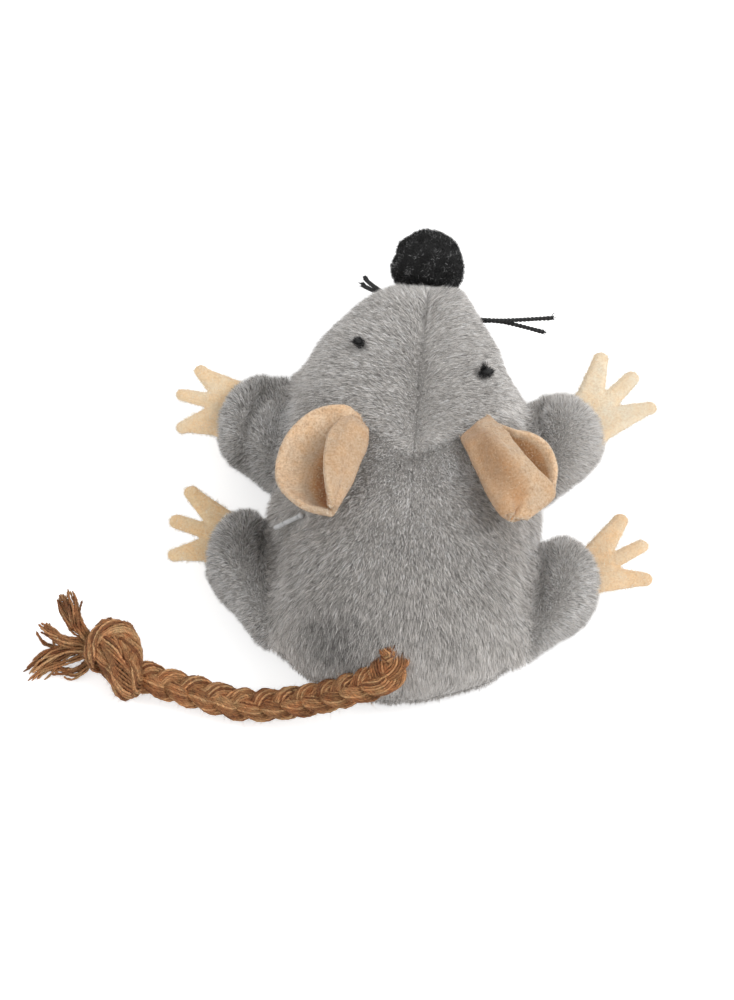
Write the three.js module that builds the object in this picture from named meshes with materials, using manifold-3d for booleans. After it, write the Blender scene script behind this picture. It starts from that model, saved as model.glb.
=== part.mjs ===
// A stuffed mole toy for a pet: a plush body and head sewn from panels round a filling, four short
// legs with cut felt paws, felt ears folded over once, a sewn nose, thread eyes and whiskers, and a
// tail of braided jute with an overhand knot and a frayed end.
// Lengths are millimetres. The nose points along +Y, the toy's right side is +X, and it lies on z = 0.

import * as THREE from 'three';
import { mergeVertices } from 'three/addons/utils/BufferGeometryUtils.js';
import Module from 'manifold-3d';

const wasm = await Module();
wasm.setup();

// Body
const bodyLength = 129;
const rumpY = -72;
const bodyHalfWidth = 35;
const bodyHeight = 52;
const sideSeamZ = 14;
const snoutSeamRise = 4;
const bellyFlat = 0.5;
const topSeamX = 2;
const headLean = 2.4;
const plushThickness = 2;

// Head seam, a V over the neck that opens forwards
const neckApexY = -18.2;
const neckSeamReach = 45;
const neckSeamRun = 55;
const neckBendShare = 0.27;

// Nose
const noseHalfWidth = 9.4;
const noseHalfDepth = 7.6;
const noseHalfHeight = 8.4;
const noseSink = 4;
const noseRise = 1;
const noseTaperShare = 0.16;

// Eyes and whiskers. Places are shares of the body's length, half width and height, and a whisker's
// course is in shares of the longest whisker.
const eyeRadius = 1.9;
const eyeHeight = 1.1;
const eyePlaceShares = [
  { name: 'eye_left', along: 0.722, across: -0.434 },
  { name: 'eye_right', along: 0.6845, across: 0.549 },
];
const whiskerRadius = 0.4;
const whiskerLength = 18;
const whiskerShares = [
  { name: 'whisker_left_upper', along: 0.95, up: 0.327, away: -0.29, ahead: 0.5, rise: -0.5 },
  { name: 'whisker_left_lower', along: 0.953, up: 0.298, away: -0.33, ahead: 0.42, rise: -0.5 },
  { name: 'whisker_right_upper', along: 0.876, up: 0.423, away: 1, ahead: 0.03, rise: 0.06 },
  { name: 'whisker_right_lower', along: 0.876, up: 0.4, away: 0.89, ahead: -0.11, rise: -0.08 },
];

// Ears: felt discs folded over along a line that starts at the neck seam, at a share of the body's
// length and half width. The turns are degrees.
const feltThickness = 1.8;
const earRadius = 17;
const earMainWidth = 20;
const earBendRadius = 2.1;
const earLift = 1.6;
const earEndTurn = 78;
const earPlaceShares = [
  { name: 'ear_left', side: -1, along: 0.497, across: 0.38, yaw: 14, droop: 21, pitch: 6, flap: 42 },
  { name: 'ear_right', side: 1, along: 0.496, across: 0.394, yaw: 25, droop: 21, pitch: 5, flap: 17 },
];

// Legs: half heights and half widths at their fullest, and the reach from the side seam
const legs = {
  front: { reach: 18.5, halfWidth: 15.6, halfHeight: 11.5 },
  rear: { reach: 18, halfWidth: 19.2, halfHeight: 12 },
};
const legRootHalf = 1;

// Paws
const pawRoot = 5;
const pawBaseHalf = 6.4;
const pawReach = 17.5;
const pawWebReach = 7.6;
const fingerRadius = 1.85;
const fingerSpread = 38;

// Each leg's hinge as a share of the body's length. Its paw lies outwards of that by a share of the
// leg's reach and forwards by a share of its half width, turned by a yaw in degrees.
const legPlaceShares = {
  front_left: { along: 0.598, out: 0.757, ahead: 0.48, yaw: 7 },
  front_right: { along: 0.605, out: 0.92, ahead: 0.68, yaw: 36 },
  rear_left: { along: 0.24, out: 0.644, ahead: 0.76, yaw: 22 },
  rear_right: { along: 0.22, out: 0.733, ahead: 0.698, yaw: 33 },
};

// Tail
const ropeRadius = 4.2;
const tailSwing = 90;
const tailSwingCuts = 6;
const ropeRoute = [
  [5.8, -67, 26.4],
  [2.8, -72.1, 27.3],
  [-1.2, -74.2, 27],
  [-6.2, -75.1, 24.4],
  [-11.6, -75.1, 20.7],
  [-17, -74.9, 16.3],
  [-22.5, -74.2, 12],
  [-28, -73.5, 8.4],
  [-33.5, -73.2, 6],
  [-38.9, -73, 4.8],
  [-44.4, -71.9, 4.5],
  [-49.9, -70.5, 4.5],
  [-55.3, -69.1, 4.5],
  [-60.8, -67.5, 4.6],
  [-66.3, -65.5, 4.9],
  [-69, -64.4, 5.3],
];
const knotHalfLength = 7;
const knotHalfWidth = 10.5;
const knotHalfHeight = 6.5;
const knotTurnRadius = 4.6;
const knotArchRadius = 8;
const knotStrandHalf = 3.6;
const knotTilt = 24;
const frayLength = 19;
const frayCoreRadius = 3;
const frayHeight = 4;
const frayFan = 38;
const frayLift = 24;
const frayTufts = 9;
const tuftRadius = 1.7;
const tuftTipRadius = 0.8;

// Tag pin: a moulded plastic bar left in the side of the toy, between places along and across it
const pinRadius = 0.55;
const pinHeadRadius = 0.8;
const pinLift = 1.15;
const pinEndShares = [[0.349, -0.943], [0.326, -0.814]];

// Clearances and overruns
const seamGap = 0.5;
const gap = 0.3;
const hingeGap = 0.5;
const overrun = 20;
const probe = 0.05;
const mergeTolerance = 1e-4;

// Facets
const bodyRings = 25;
const bodySides = 28;
const innerRings = 15;
const innerSides = 18;
const legRings = 11;
const legSides = 16;
const legInnerRings = 8;
const legInnerSides = 12;
const arcSteps = 6;
const ropeSides = 10;
const ropeSteps = 34;
const noseDetail = 3;
const earRows = 10;
const earColumns = 12;
const roundSegments = 12;
const roundRings = 8;
const turnSegments = 16;
const thinSides = 5;
const thinSteps = 6;
const pinSides = 8;

// How far the knot's arch is flattened along the rope, and how much shorter the shortest tuft is
const knotArchShare = 0.72;
const tuftShorteningShare = 0.3;

// How much closer the body's rings lie towards its two ends
const ringCrowdingShare = 0.6;

// Roundness of the sections above and below the side seam: 1 is an ellipse, and less is fuller
const upperRoundness = 0.92;
const lowerRoundness = 0.66;

// Body sections from rump to snout: place along the length, half width, top, bottom, seam rise
// and lean, each as a share of its size above
const bodyShares = [
  [0, 0.24, 0.5, 0.66, 0, 0],
  [0.018, 0.5, 0.62, 0.32, 0, 0],
  [0.045, 0.72, 0.72, 0.1, 0, 0],
  [0.083, 0.87, 0.81, 0, 0, 0],
  [0.145, 0.955, 0.905, 0, 0, 0],
  [0.235, 0.99, 0.975, 0, 0, 0],
  [0.335, 1, 1, 0, 0, 0],
  [0.44, 0.98, 0.985, 0, 0, -0.05],
  [0.545, 0.975, 0.94, 0, 0, -0.25],
  [0.65, 0.93, 0.885, 0, 0, -0.6],
  [0.74, 0.82, 0.82, 0.02, 0.1, -0.95],
  [0.815, 0.69, 0.755, 0.12, 0.3, -0.85],
  [0.875, 0.55, 0.7, 0.28, 0.55, -0.4],
  [0.925, 0.42, 0.645, 0.44, 0.8, 0.1],
  [0.965, 0.32, 0.59, 0.6, 0.95, 0.45],
  [1, 0.24, 0.52, 0.8, 1, 0.55],
];

// Leg sections from the hinge outwards: reach, half width, forward middle, half height
const legShares = {
  front: [
    [0, 0.97, -0.15, 0],
    [0.18, 0.98, -0.05, 0.37],
    [0.36, 0.94, 0.04, 0.76],
    [0.56, 0.86, 0.11, 1],
    [0.76, 0.7, 0.16, 0.9],
    [0.92, 0.44, 0.19, 0.6],
    [1, 0.2, 0.2, 0.3],
  ],
  rear: [
    [0, 0.97, -0.02, 0],
    [0.18, 0.97, 0.08, 0.36],
    [0.36, 0.94, 0.18, 0.75],
    [0.56, 0.85, 0.28, 1],
    [0.76, 0.66, 0.34, 0.9],
    [0.92, 0.4, 0.37, 0.6],
    [1, 0.18, 0.38, 0.3],
  ],
};

const radians = THREE.MathUtils.degToRad;

// Solids

function solidOf(positions, indices) {
  return new wasm.Manifold(new wasm.Mesh({
    numProp: 3,
    vertProperties: new Float32Array(positions),
    triVerts: new Uint32Array(indices),
  }));
}

function solid(geometry) {
  const bare = geometry.clone();
  bare.deleteAttribute('normal');
  bare.deleteAttribute('uv');
  const merged = mergeVertices(bare, mergeTolerance);
  return solidOf(merged.attributes.position.array, merged.index.array);
}

function geometryOf(manifold) {
  const { vertProperties, triVerts } = manifold.getMesh();
  const geometry = new THREE.BufferGeometry();
  geometry.setAttribute('position', new THREE.BufferAttribute(new Float32Array(vertProperties), 3));
  geometry.setIndex(new THREE.BufferAttribute(new Uint32Array(triVerts), 1));
  geometry.computeVertexNormals();
  return geometry;
}

// A closed loft along +Y through oval sections, each { along, middle, halfWidth, top, seam, bottom }.
// A positive inset draws the sections in all round, and a negative one swells them.
function loft(sections, sides, inset = 0) {
  const last = sections.length - 1;
  const positions = [];
  const indices = [];
  for (const section of sections) {
    for (let k = 0; k < sides; k += 1) {
      const angle = (2 * Math.PI * k) / sides;
      const across = Math.cos(angle);
      const up = Math.sin(angle);
      const roundness = up >= 0 ? upperRoundness : lowerRoundness;
      const span = up >= 0 ? section.top - section.seam - inset : section.seam - section.bottom - inset;
      positions.push(
        section.middle + Math.sign(across) * (section.halfWidth - inset) * Math.abs(across) ** roundness,
        section.along,
        section.seam + Math.sign(up) * span * Math.abs(up) ** roundness,
      );
    }
  }
  for (let i = 0; i < last; i += 1) {
    for (let k = 0; k < sides; k += 1) {
      const next = (k + 1) % sides;
      const [a, b] = [i * sides + k, i * sides + next];
      indices.push(a, a + sides, b + sides, a, b + sides, b);
    }
  }
  for (const [i, flip] of [[0, false], [last, true]]) {
    const centre = positions.length / 3;
    const section = sections[i];
    positions.push(section.middle, section.along, section.seam);
    for (let k = 0; k < sides; k += 1) {
      const [a, b] = [i * sides + k, i * sides + ((k + 1) % sides)];
      indices.push(centre, flip ? b : a, flip ? a : b);
    }
  }
  return solidOf(positions, indices);
}

// A smooth curve through rows of shares, read at a share of the way along
function smooth(rows) {
  const size = rows[0].length - 1;
  const values = rows.flatMap((row) => row.slice(1));
  const curve = new THREE.CubicInterpolant(rows.map((row) => row[0]), values, size);
  return (share) => Array.from(curve.evaluate(share));
}

function box(halfWidth, halfDepth, halfHeight, x, y, z) {
  return solid(new THREE.BoxGeometry(2 * halfWidth, 2 * halfDepth, 2 * halfHeight).translate(x, y, z));
}

function tube(points, radius, sides, steps) {
  const curve = new THREE.CatmullRomCurve3(points);
  const section = new THREE.Shape();
  for (let k = 0; k < sides; k += 1) {
    const angle = (2 * Math.PI * k) / sides;
    section[k ? 'lineTo' : 'moveTo'](radius * Math.cos(angle), radius * Math.sin(angle));
  }
  return solid(new THREE.ExtrudeGeometry(section, { steps, extrudePath: curve, bevelEnabled: false }));
}

function middleOf(a, b) {
  return a.clone().add(b).divideScalar(2);
}

// Body form

const bodyCurve = smooth(bodyShares);

function alongBody(share) {
  return rumpY + bodyLength * share;
}

function acrossBody(share) {
  return bodyHalfWidth * share;
}

function bodySection(y) {
  const share = THREE.MathUtils.clamp((y - rumpY) / bodyLength, 0, 1);
  const [width, top, bottom, rise, lean] = bodyCurve(share);
  const seam = sideSeamZ + snoutSeamRise * rise;
  return {
    along: y,
    middle: headLean * lean,
    halfWidth: bodyHalfWidth * width,
    top: bodyHeight * top,
    seam,
    bottom: THREE.MathUtils.lerp(-bellyFlat, seam, bottom),
  };
}

function bodyForm(rings, sides, inset) {
  const sections = [];
  for (let i = 0; i <= rings; i += 1) {
    const even = i / rings;
    const share = even - (ringCrowdingShare * Math.sin(2 * Math.PI * even)) / (2 * Math.PI);
    sections.push(bodySection(rumpY + inset + (bodyLength - 2 * inset) * share));
  }
  return loft(sections, sides, inset);
}

// The height of the body's upper surface over a point, and the way it faces there
function surfacePoint(x, y) {
  const { middle, halfWidth, top, seam } = bodySection(y);
  const across = Math.min(1, Math.abs(x - middle) / halfWidth);
  const up = (1 - across ** (2 / upperRoundness)) ** (upperRoundness / 2);
  return new THREE.Vector3(x, y, seam + (top - seam) * up);
}

function surfaceNormal(x, y) {
  const here = surfacePoint(x, y);
  const alongX = surfacePoint(x + probe, y).sub(here);
  const alongY = surfacePoint(x, y + probe).sub(here);
  return alongX.cross(alongY).normalize();
}

// Where the body is widest on one side
function sidePoint(side, y) {
  const { middle, halfWidth, seam } = bodySection(y);
  return new THREE.Vector3(middle + side * halfWidth, y, seam);
}

// Everything in front of the neck seam, moved forwards by a gap
function headSide(forwards) {
  const endY = neckApexY + neckSeamRun;
  const bend = neckSeamReach / 2;
  const bendY = neckApexY + neckBendShare * neckSeamRun;
  const front = rumpY + bodyLength + overrun;
  const side = new THREE.Shape();
  side.moveTo(0, neckApexY);
  side.quadraticCurveTo(bend, bendY, neckSeamReach, endY);
  side.lineTo(neckSeamReach, front);
  side.lineTo(-neckSeamReach, front);
  side.lineTo(-neckSeamReach, endY);
  side.quadraticCurveTo(-bend, bendY, 0, neckApexY);
  const height = bodyHeight + 2 * overrun;
  const options = { depth: height, bevelEnabled: false, curveSegments: arcSteps };
  const geometry = new THREE.ExtrudeGeometry(side, options);
  return solid(geometry.translate(topSeamX, forwards, -overrun));
}

// A block on one side of a plane, used to part the panels
function block(axis, from, sign) {
  const reach = bodyLength;
  const centre = [0, 0, 0];
  centre[axis] = from + sign * reach;
  return box(reach, reach, reach, ...centre);
}

const RIGHT = [0, 1];
const UP = [2, 1];
const LEFT = [0, -1];
const DOWN = [2, -1];

function beyond([axis, sign], at, clearance = 0) {
  return block(axis, at + sign * clearance, sign);
}

const aboveFloor = beyond(UP, 0);
const outer = bodyForm(bodyRings, bodySides, 0).intersect(aboveFloor);
const inner = bodyForm(innerRings, innerSides, plushThickness);
const stuffing = bodyForm(innerRings, innerSides, plushThickness + gap);
const grown = bodyForm(bodyRings, bodySides, -gap);
const shell = outer.subtract(inner);
const headFront = headSide(seamGap);
const headBack = headSide(0);

// Nose

function noseForm(swell) {
  const tip = rumpY + bodyLength;
  const sphere = new THREE.IcosahedronGeometry(1, noseDetail);
  const place = sphere.attributes.position;
  const point = new THREE.Vector3();
  for (let i = 0; i < place.count; i += 1) {
    point.fromBufferAttribute(place, i);
    const taper = 1 - noseTaperShare * point.y;
    place.setXYZ(
      i,
      point.x * (noseHalfWidth + swell) * taper,
      point.y * (noseHalfDepth + swell),
      point.z * (noseHalfHeight + swell) * taper,
    );
  }
  const { middle, seam } = bodySection(tip);
  return solid(sphere.translate(middle, tip + noseSink, seam + noseRise));
}

// Felt

// A flat paw pointing along +Y from the edge of its leg, swelled all round where a slot is cut for it
function pawForm(swell) {
  const baseHalf = pawBaseHalf + swell;
  const outline = new THREE.Shape();
  outline.moveTo(-baseHalf, -pawRoot - swell);
  outline.lineTo(-baseHalf, 0);
  for (const step of [-1, 0, 1]) {
    const turn = radians(90 - step * fingerSpread);
    const reach = pawReach - fingerRadius;
    outline.absarc(
      reach * Math.cos(turn),
      reach * Math.sin(turn),
      fingerRadius + swell,
      turn + Math.PI / 2,
      turn - Math.PI / 2,
      true,
    );
    if (step < 1) {
      const between = turn - radians(fingerSpread / 2);
      const webReach = pawWebReach + 2 * swell;
      outline.lineTo(webReach * Math.cos(between), webReach * Math.sin(between));
    }
  }
  outline.lineTo(baseHalf, 0);
  outline.lineTo(baseHalf, -pawRoot - swell);
  const depth = feltThickness + 2 * swell;
  const options = { depth, bevelEnabled: false, curveSegments: arcSteps };
  const geometry = new THREE.ExtrudeGeometry(outline, options);
  return geometry.translate(0, 0, -depth / 2);
}

// A disc of felt folded over towards its upper side. The fold runs along -Y from the origin, the main
// leaf lies on the given side of it and the flap comes back over the leaf.
function foldedDisc(side, flapAngle) {
  const rows = earRows;
  const columns = earColumns;
  const middle = earMainWidth - earRadius;
  const bend = Math.PI - radians(flapAngle);
  const bendLength = earBendRadius * bend;
  const place = (along, across, offset) => {
    const turned = THREE.MathUtils.clamp(-across / earBendRadius, 0, bend);
    const past = Math.max(0, -across - bendLength);
    const lead = Math.max(0, across);
    const x = lead - earBendRadius * Math.sin(turned) - past * Math.cos(turned) + offset * Math.sin(turned);
    const z = earBendRadius * (1 - Math.cos(turned)) + past * Math.sin(turned) + offset * Math.cos(turned);
    return [side * x, -along, z];
  };
  const positions = [];
  const indices = [];
  for (const offset of [-feltThickness / 2, feltThickness / 2]) {
    for (let i = 0; i <= rows; i += 1) {
      const turn = radians(THREE.MathUtils.lerp(-earEndTurn, earEndTurn, i / rows));
      const along = earRadius + earRadius * Math.sin(turn);
      const half = earRadius * Math.cos(turn);
      for (let j = 0; j <= columns; j += 1) {
        positions.push(...place(along, middle - half + (2 * half * j) / columns, offset));
      }
    }
  }
  const under = (i, j) => i * (columns + 1) + j;
  const over = (i, j) => (rows + 1) * (columns + 1) + under(i, j);
  const quad = (a, b, c, d) => (side > 0 ? indices.push(a, b, c, a, c, d) : indices.push(a, c, b, a, d, c));
  for (let i = 0; i < rows; i += 1) {
    for (let j = 0; j < columns; j += 1) {
      quad(under(i, j), under(i, j + 1), under(i + 1, j + 1), under(i + 1, j));
      quad(over(i, j), over(i + 1, j), over(i + 1, j + 1), over(i, j + 1));
    }
    quad(under(i, 0), under(i + 1, 0), over(i + 1, 0), over(i, 0));
    quad(under(i + 1, columns), under(i, columns), over(i, columns), over(i + 1, columns));
  }
  for (let j = 0; j < columns; j += 1) {
    quad(under(0, j + 1), under(0, j), over(0, j), over(0, j + 1));
    quad(under(rows, j), under(rows, j + 1), over(rows, j + 1), over(rows, j));
  }
  return solidOf(positions, indices);
}

// Parts

const toy = new THREE.Group();

function add(parent, name, form, { colour, roughness }) {
  const material = new THREE.MeshStandardMaterial({ color: colour, roughness, metalness: 0 });
  const mesh = new THREE.Mesh(geometryOf(form), material);
  mesh.name = name;
  parent.add(mesh);
}

const plush = { colour: 0x9b9692, roughness: 0.95 };
const wadding = { colour: 0xf0eee8, roughness: 1 };
const blackPlush = { colour: 0x252525, roughness: 0.95 };
const felt = { colour: 0xd6b088, roughness: 0.95 };
const thread = { colour: 0x1c1c1c, roughness: 0.8 };
const jute = { colour: 0x93633f, roughness: 0.9 };
const clearPlastic = { colour: 0xd0d0cc, roughness: 0.35 };

function addTorsoAndHead() {
  const torso = shell.subtract(headBack);
  const back = torso.intersect(beyond(UP, sideSeamZ, gap / 2));
  add(toy, 'torso_back_left', back.intersect(beyond(LEFT, topSeamX, gap / 2)), plush);
  add(toy, 'torso_back_right', back.intersect(beyond(RIGHT, topSeamX, gap / 2)), plush);
  add(toy, 'torso_belly', torso.intersect(beyond(DOWN, sideSeamZ, gap / 2)), plush);
  add(toy, 'torso_filling', stuffing.subtract(headBack), wadding);
  const head = shell.intersect(headFront);
  add(toy, 'head_left', head.intersect(beyond(LEFT, topSeamX, gap / 2)), plush);
  add(toy, 'head_right', head.intersect(beyond(RIGHT, topSeamX, gap / 2)), plush);
  add(toy, 'head_filling', stuffing.intersect(headFront), wadding);
  add(toy, 'nose', noseForm(0).subtract(grown), blackPlush);
}

function addEyes() {
  for (const { name, along, across } of eyePlaceShares) {
    const x = acrossBody(across);
    const y = alongBody(along);
    const knot = new THREE.SphereGeometry(1, roundSegments, roundRings).rotateX(Math.PI / 2);
    const facing = new THREE.Quaternion().setFromUnitVectors(new THREE.Vector3(0, 0, 1), surfaceNormal(x, y));
    const size = new THREE.Vector3(eyeRadius, eyeRadius, 2 * eyeHeight);
    knot.applyMatrix4(new THREE.Matrix4().compose(surfacePoint(x, y), facing, size));
    add(toy, name, solid(knot).subtract(grown), thread);
  }
}

function addWhiskers() {
  for (const { name, along, up, away, ahead, rise } of whiskerShares) {
    const y = alongBody(along);
    const { middle, halfWidth } = bodySection(y);
    const x = middle + Math.sign(away) * (halfWidth - plushThickness);
    const root = new THREE.Vector3(x, y, bodyHeight * up);
    const course = new THREE.Vector3(away, ahead, rise).multiplyScalar(whiskerLength);
    const tip = root.clone().add(course);
    const bow = middleOf(root, tip);
    bow.z += Math.abs(course.z) / 2;
    const strand = tube([root, bow, tip], whiskerRadius, thinSides, thinSteps).subtract(grown);
    add(toy, name, strand, thread);
  }
}

function addEars() {
  for (const { name, side, along, across, yaw, droop, pitch, flap } of earPlaceShares) {
    const root = surfacePoint(topSeamX + side * acrossBody(across), alongBody(along));
    const place = new THREE.Matrix4().makeRotationFromEuler(
      new THREE.Euler(-radians(pitch), side * radians(droop), side * radians(yaw), 'ZXY'),
    ).setPosition(root.x, root.y, root.z + earLift);
    const disc = solid(geometryOf(foldedDisc(side, flap)).applyMatrix4(place));
    add(toy, name, disc.subtract(headSide(-gap)).subtract(grown), felt);
  }
}

function legForm(kind, forwardSign, rings, sides, inset) {
  const { reach, halfWidth, halfHeight } = legs[kind];
  const curve = smooth(legShares[kind]);
  const start = hingeGap + inset;
  const sections = [];
  for (let i = 0; i <= rings; i += 1) {
    const along = THREE.MathUtils.lerp(start, reach - inset, i / rings);
    const [width, forward, height] = curve(along / reach);
    const half = THREE.MathUtils.lerp(legRootHalf, halfHeight, height);
    sections.push({
      along,
      middle: forwardSign * halfWidth * forward,
      halfWidth: halfWidth * width,
      top: half,
      seam: 0,
      bottom: -half,
    });
  }
  return loft(sections, sides, inset);
}

function addLeg(kind, hand) {
  const side = hand === 'right' ? 1 : -1;
  const name = `${kind}_${hand}`;
  const { along, out, ahead, yaw } = legPlaceShares[name];
  const { reach, halfWidth } = legs[kind];
  const hingeY = alongBody(along);
  const hinge = sidePoint(side, hingeY);
  const sideways = sidePoint(side, hingeY + probe).sub(hinge);
  const place = new THREE.Matrix4().makeRotationZ(-Math.atan2(sideways.x, sideways.y) - (side * Math.PI) / 2);
  place.setPosition(hinge);
  const placed = (form) => solid(geometryOf(form).applyMatrix4(place));

  const pawPlace = (swell) => solid(
    pawForm(swell).rotateZ(side * radians(yaw)).translate(-side * halfWidth * ahead, reach * out, 0),
  );
  const slot = pawPlace(gap);
  const full = legForm(kind, -side, legRings, legSides, 0);
  const hollow = legForm(kind, -side, legInnerRings, legInnerSides, plushThickness);
  const filling = legForm(kind, -side, legInnerRings, legInnerSides, plushThickness + gap);
  add(toy, `${name}_leg`, placed(full.subtract(hollow).subtract(slot)).subtract(grown), plush);
  add(toy, `${name}_leg_filling`, placed(filling.subtract(slot)).subtract(grown), wadding);
  add(toy, `${name}_paw`, placed(pawPlace(0)), felt);
}

const ropePoints = ropeRoute.map((point) => new THREE.Vector3(...point));
const ropeEnd = ropePoints.at(-1);
const ropeHeading = ropeEnd.clone().sub(ropePoints.at(-2)).setZ(0).normalize();

// Sets a form made about the origin, with the rope running along +X, where the rope ends
function atRopeEnd(geometry, onward, height) {
  const place = ropeEnd.clone().addScaledVector(ropeHeading, onward);
  return solid(
    geometry
      .rotateZ(Math.atan2(ropeHeading.y, ropeHeading.x))
      .translate(place.x, place.y, height),
  );
}

// The overhand knot: one turn round the rope and an arch across it, pulled tight over the heart
function knotForm(swell) {
  const height = knotTurnRadius + knotStrandHalf + gap;
  const place = (geometry) => atRopeEnd(geometry, knotHalfLength, height);
  const strand = knotStrandHalf + swell;
  const heart = new THREE.SphereGeometry(1, roundSegments, roundRings).scale(
    knotHalfLength + swell,
    knotHalfWidth + swell,
    knotHalfHeight + swell,
  );
  const turn = new THREE.TorusGeometry(knotTurnRadius, strand, roundRings, turnSegments)
    .rotateY(Math.PI / 2)
    .rotateZ(radians(knotTilt));
  const arch = new THREE.TorusGeometry(knotArchRadius, strand, roundRings, turnSegments)
    .scale(knotArchShare, 1, 1)
    .rotateY(radians(knotTilt));
  return place(heart).add(place(turn)).add(place(arch));
}

// One tapered tuft of loose yarn from the origin along +X, turned and lifted
function tuftForm(turn, lift, length) {
  const tuft = new THREE.CylinderGeometry(tuftTipRadius, tuftRadius, length, thinSides);
  return tuft.rotateZ(-Math.PI / 2).translate(length / 2, 0, 0).rotateY(-lift).rotateZ(turn);
}

// The rope's root is cut clear of the body over the tail's whole swing about the place where it leaves
function tailRootClearance() {
  const exit = ropePoints[1];
  let clearance = grown;
  for (let i = 1; i <= tailSwingCuts; i += 1) {
    const turn = -radians(tailSwing) * (i / tailSwingCuts);
    const turned = geometryOf(grown)
      .translate(-exit.x, -exit.y, 0)
      .rotateZ(turn)
      .translate(exit.x, exit.y, 0);
    clearance = clearance.add(solid(turned));
  }
  return clearance;
}

function addTail() {
  const rope = tube(ropePoints, ropeRadius, ropeSides, ropeSteps);
  add(toy, 'tail_braid', rope.subtract(tailRootClearance()).subtract(knotForm(gap)), jute);
  add(toy, 'tail_knot', knotForm(0), jute);
  const root = 2 * knotHalfLength - tuftRadius;
  let fray = atRopeEnd(new THREE.SphereGeometry(frayCoreRadius, roundSegments, roundRings), root, frayHeight);
  for (let i = 0; i < frayTufts; i += 1) {
    const share = i / (frayTufts - 1);
    const turn = radians(frayFan) * (2 * share - 1);
    const lift = radians(frayLift) * (i % 2);
    const length = frayLength * (1 - tuftShorteningShare * Math.sin(frayTufts * share) ** 2);
    fray = fray.add(atRopeEnd(tuftForm(turn, lift, length), root, frayHeight));
  }
  add(toy, 'tail_fray', fray.subtract(knotForm(gap)), jute);
}

function addTagPin() {
  const [start, end] = pinEndShares.map(([along, across]) => {
    const x = acrossBody(across);
    const y = alongBody(along);
    return surfacePoint(x, y).addScaledVector(surfaceNormal(x, y), pinLift);
  });
  const bar = end.clone().sub(start);
  const place = new THREE.Matrix4().compose(
    middleOf(start, end),
    new THREE.Quaternion().setFromUnitVectors(new THREE.Vector3(0, 1, 0), bar.clone().normalize()),
    new THREE.Vector3(1, 1, 1),
  );
  const shaft = new THREE.CylinderGeometry(pinRadius, pinRadius, bar.length(), pinSides).applyMatrix4(place);
  const head = new THREE.SphereGeometry(pinHeadRadius, pinSides, thinSteps).translate(...end.toArray());
  add(toy, 'tag_pin', solid(shaft).add(solid(head)).subtract(grown), clearPlastic);
}

addTorsoAndHead();
addEyes();
addWhiskers();
addEars();
for (const kind of ['front', 'rear']) {
  for (const hand of ['left', 'right']) {
    addLeg(kind, hand);
  }
}
addTagPin();

// The origin is on the floor under the middle of the toy, with the tail left out of the measure
toy.updateMatrixWorld(true);
const footprint = new THREE.Box3().setFromObject(toy, true).getCenter(new THREE.Vector3());
toy.position.set(-footprint.x, -footprint.y, 0);
addTail();

export default toy;
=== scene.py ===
"""A stuffed mole toy in plush, felt, thread and jute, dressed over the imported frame.

Tables and sections are in millimetres in the part's own place; SHIFT moves them to the frame.
"""

import math

import bpy
import numpy as np
from mathutils import Matrix
from mathutils.kdtree import KDTree


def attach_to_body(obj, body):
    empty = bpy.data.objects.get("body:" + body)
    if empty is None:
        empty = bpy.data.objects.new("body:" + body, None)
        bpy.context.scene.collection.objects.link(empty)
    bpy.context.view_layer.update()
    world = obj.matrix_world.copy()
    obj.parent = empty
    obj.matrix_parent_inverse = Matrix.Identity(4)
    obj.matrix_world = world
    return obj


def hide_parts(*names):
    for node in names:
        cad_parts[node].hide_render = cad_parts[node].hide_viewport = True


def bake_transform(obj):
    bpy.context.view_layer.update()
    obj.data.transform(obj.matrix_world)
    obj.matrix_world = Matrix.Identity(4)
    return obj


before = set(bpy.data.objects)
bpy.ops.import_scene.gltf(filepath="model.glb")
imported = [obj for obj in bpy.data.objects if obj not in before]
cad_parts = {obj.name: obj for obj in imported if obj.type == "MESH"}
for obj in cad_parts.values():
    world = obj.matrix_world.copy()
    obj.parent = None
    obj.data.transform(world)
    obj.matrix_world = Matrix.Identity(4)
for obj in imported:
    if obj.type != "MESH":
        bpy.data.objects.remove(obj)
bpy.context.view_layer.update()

MM = 0.001
SHIFT = np.array([-0.1006, 1.7, 0.0])
UP = np.array([0.0, 0.0, 1.0])
TURN = 2 * math.pi
rng = np.random.default_rng(7)


def norm(v):
    return np.linalg.norm(v, axis=-1)


def unit(v):
    return v / np.maximum(norm(v)[..., None], 1e-9)


def metres(points):
    return (np.asarray(points, float) + SHIFT) * MM


def distances(path):
    """How far along a path each of its points lies."""
    steps = norm(np.diff(path, axis=-2))
    return np.concatenate([np.zeros_like(steps[..., :1]), np.cumsum(steps, axis=-1)], -1)


def spin(angle, a, b):
    """A turn of axis a towards axis b."""
    turn = np.eye(3)
    turn[a, a] = turn[b, b] = math.cos(angle)
    turn[b, a] = math.sin(angle)
    turn[a, b] = -turn[b, a]
    return turn


def linked(name, data):
    obj = bpy.data.objects.new(name, data)
    bpy.context.collection.objects.link(obj)
    return obj


def attach(piece, body, node=None):
    """Puts a piece on its body, and hides the node that it stands for."""
    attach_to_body(piece, body)
    if node:
        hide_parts(node)


# Camera

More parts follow.
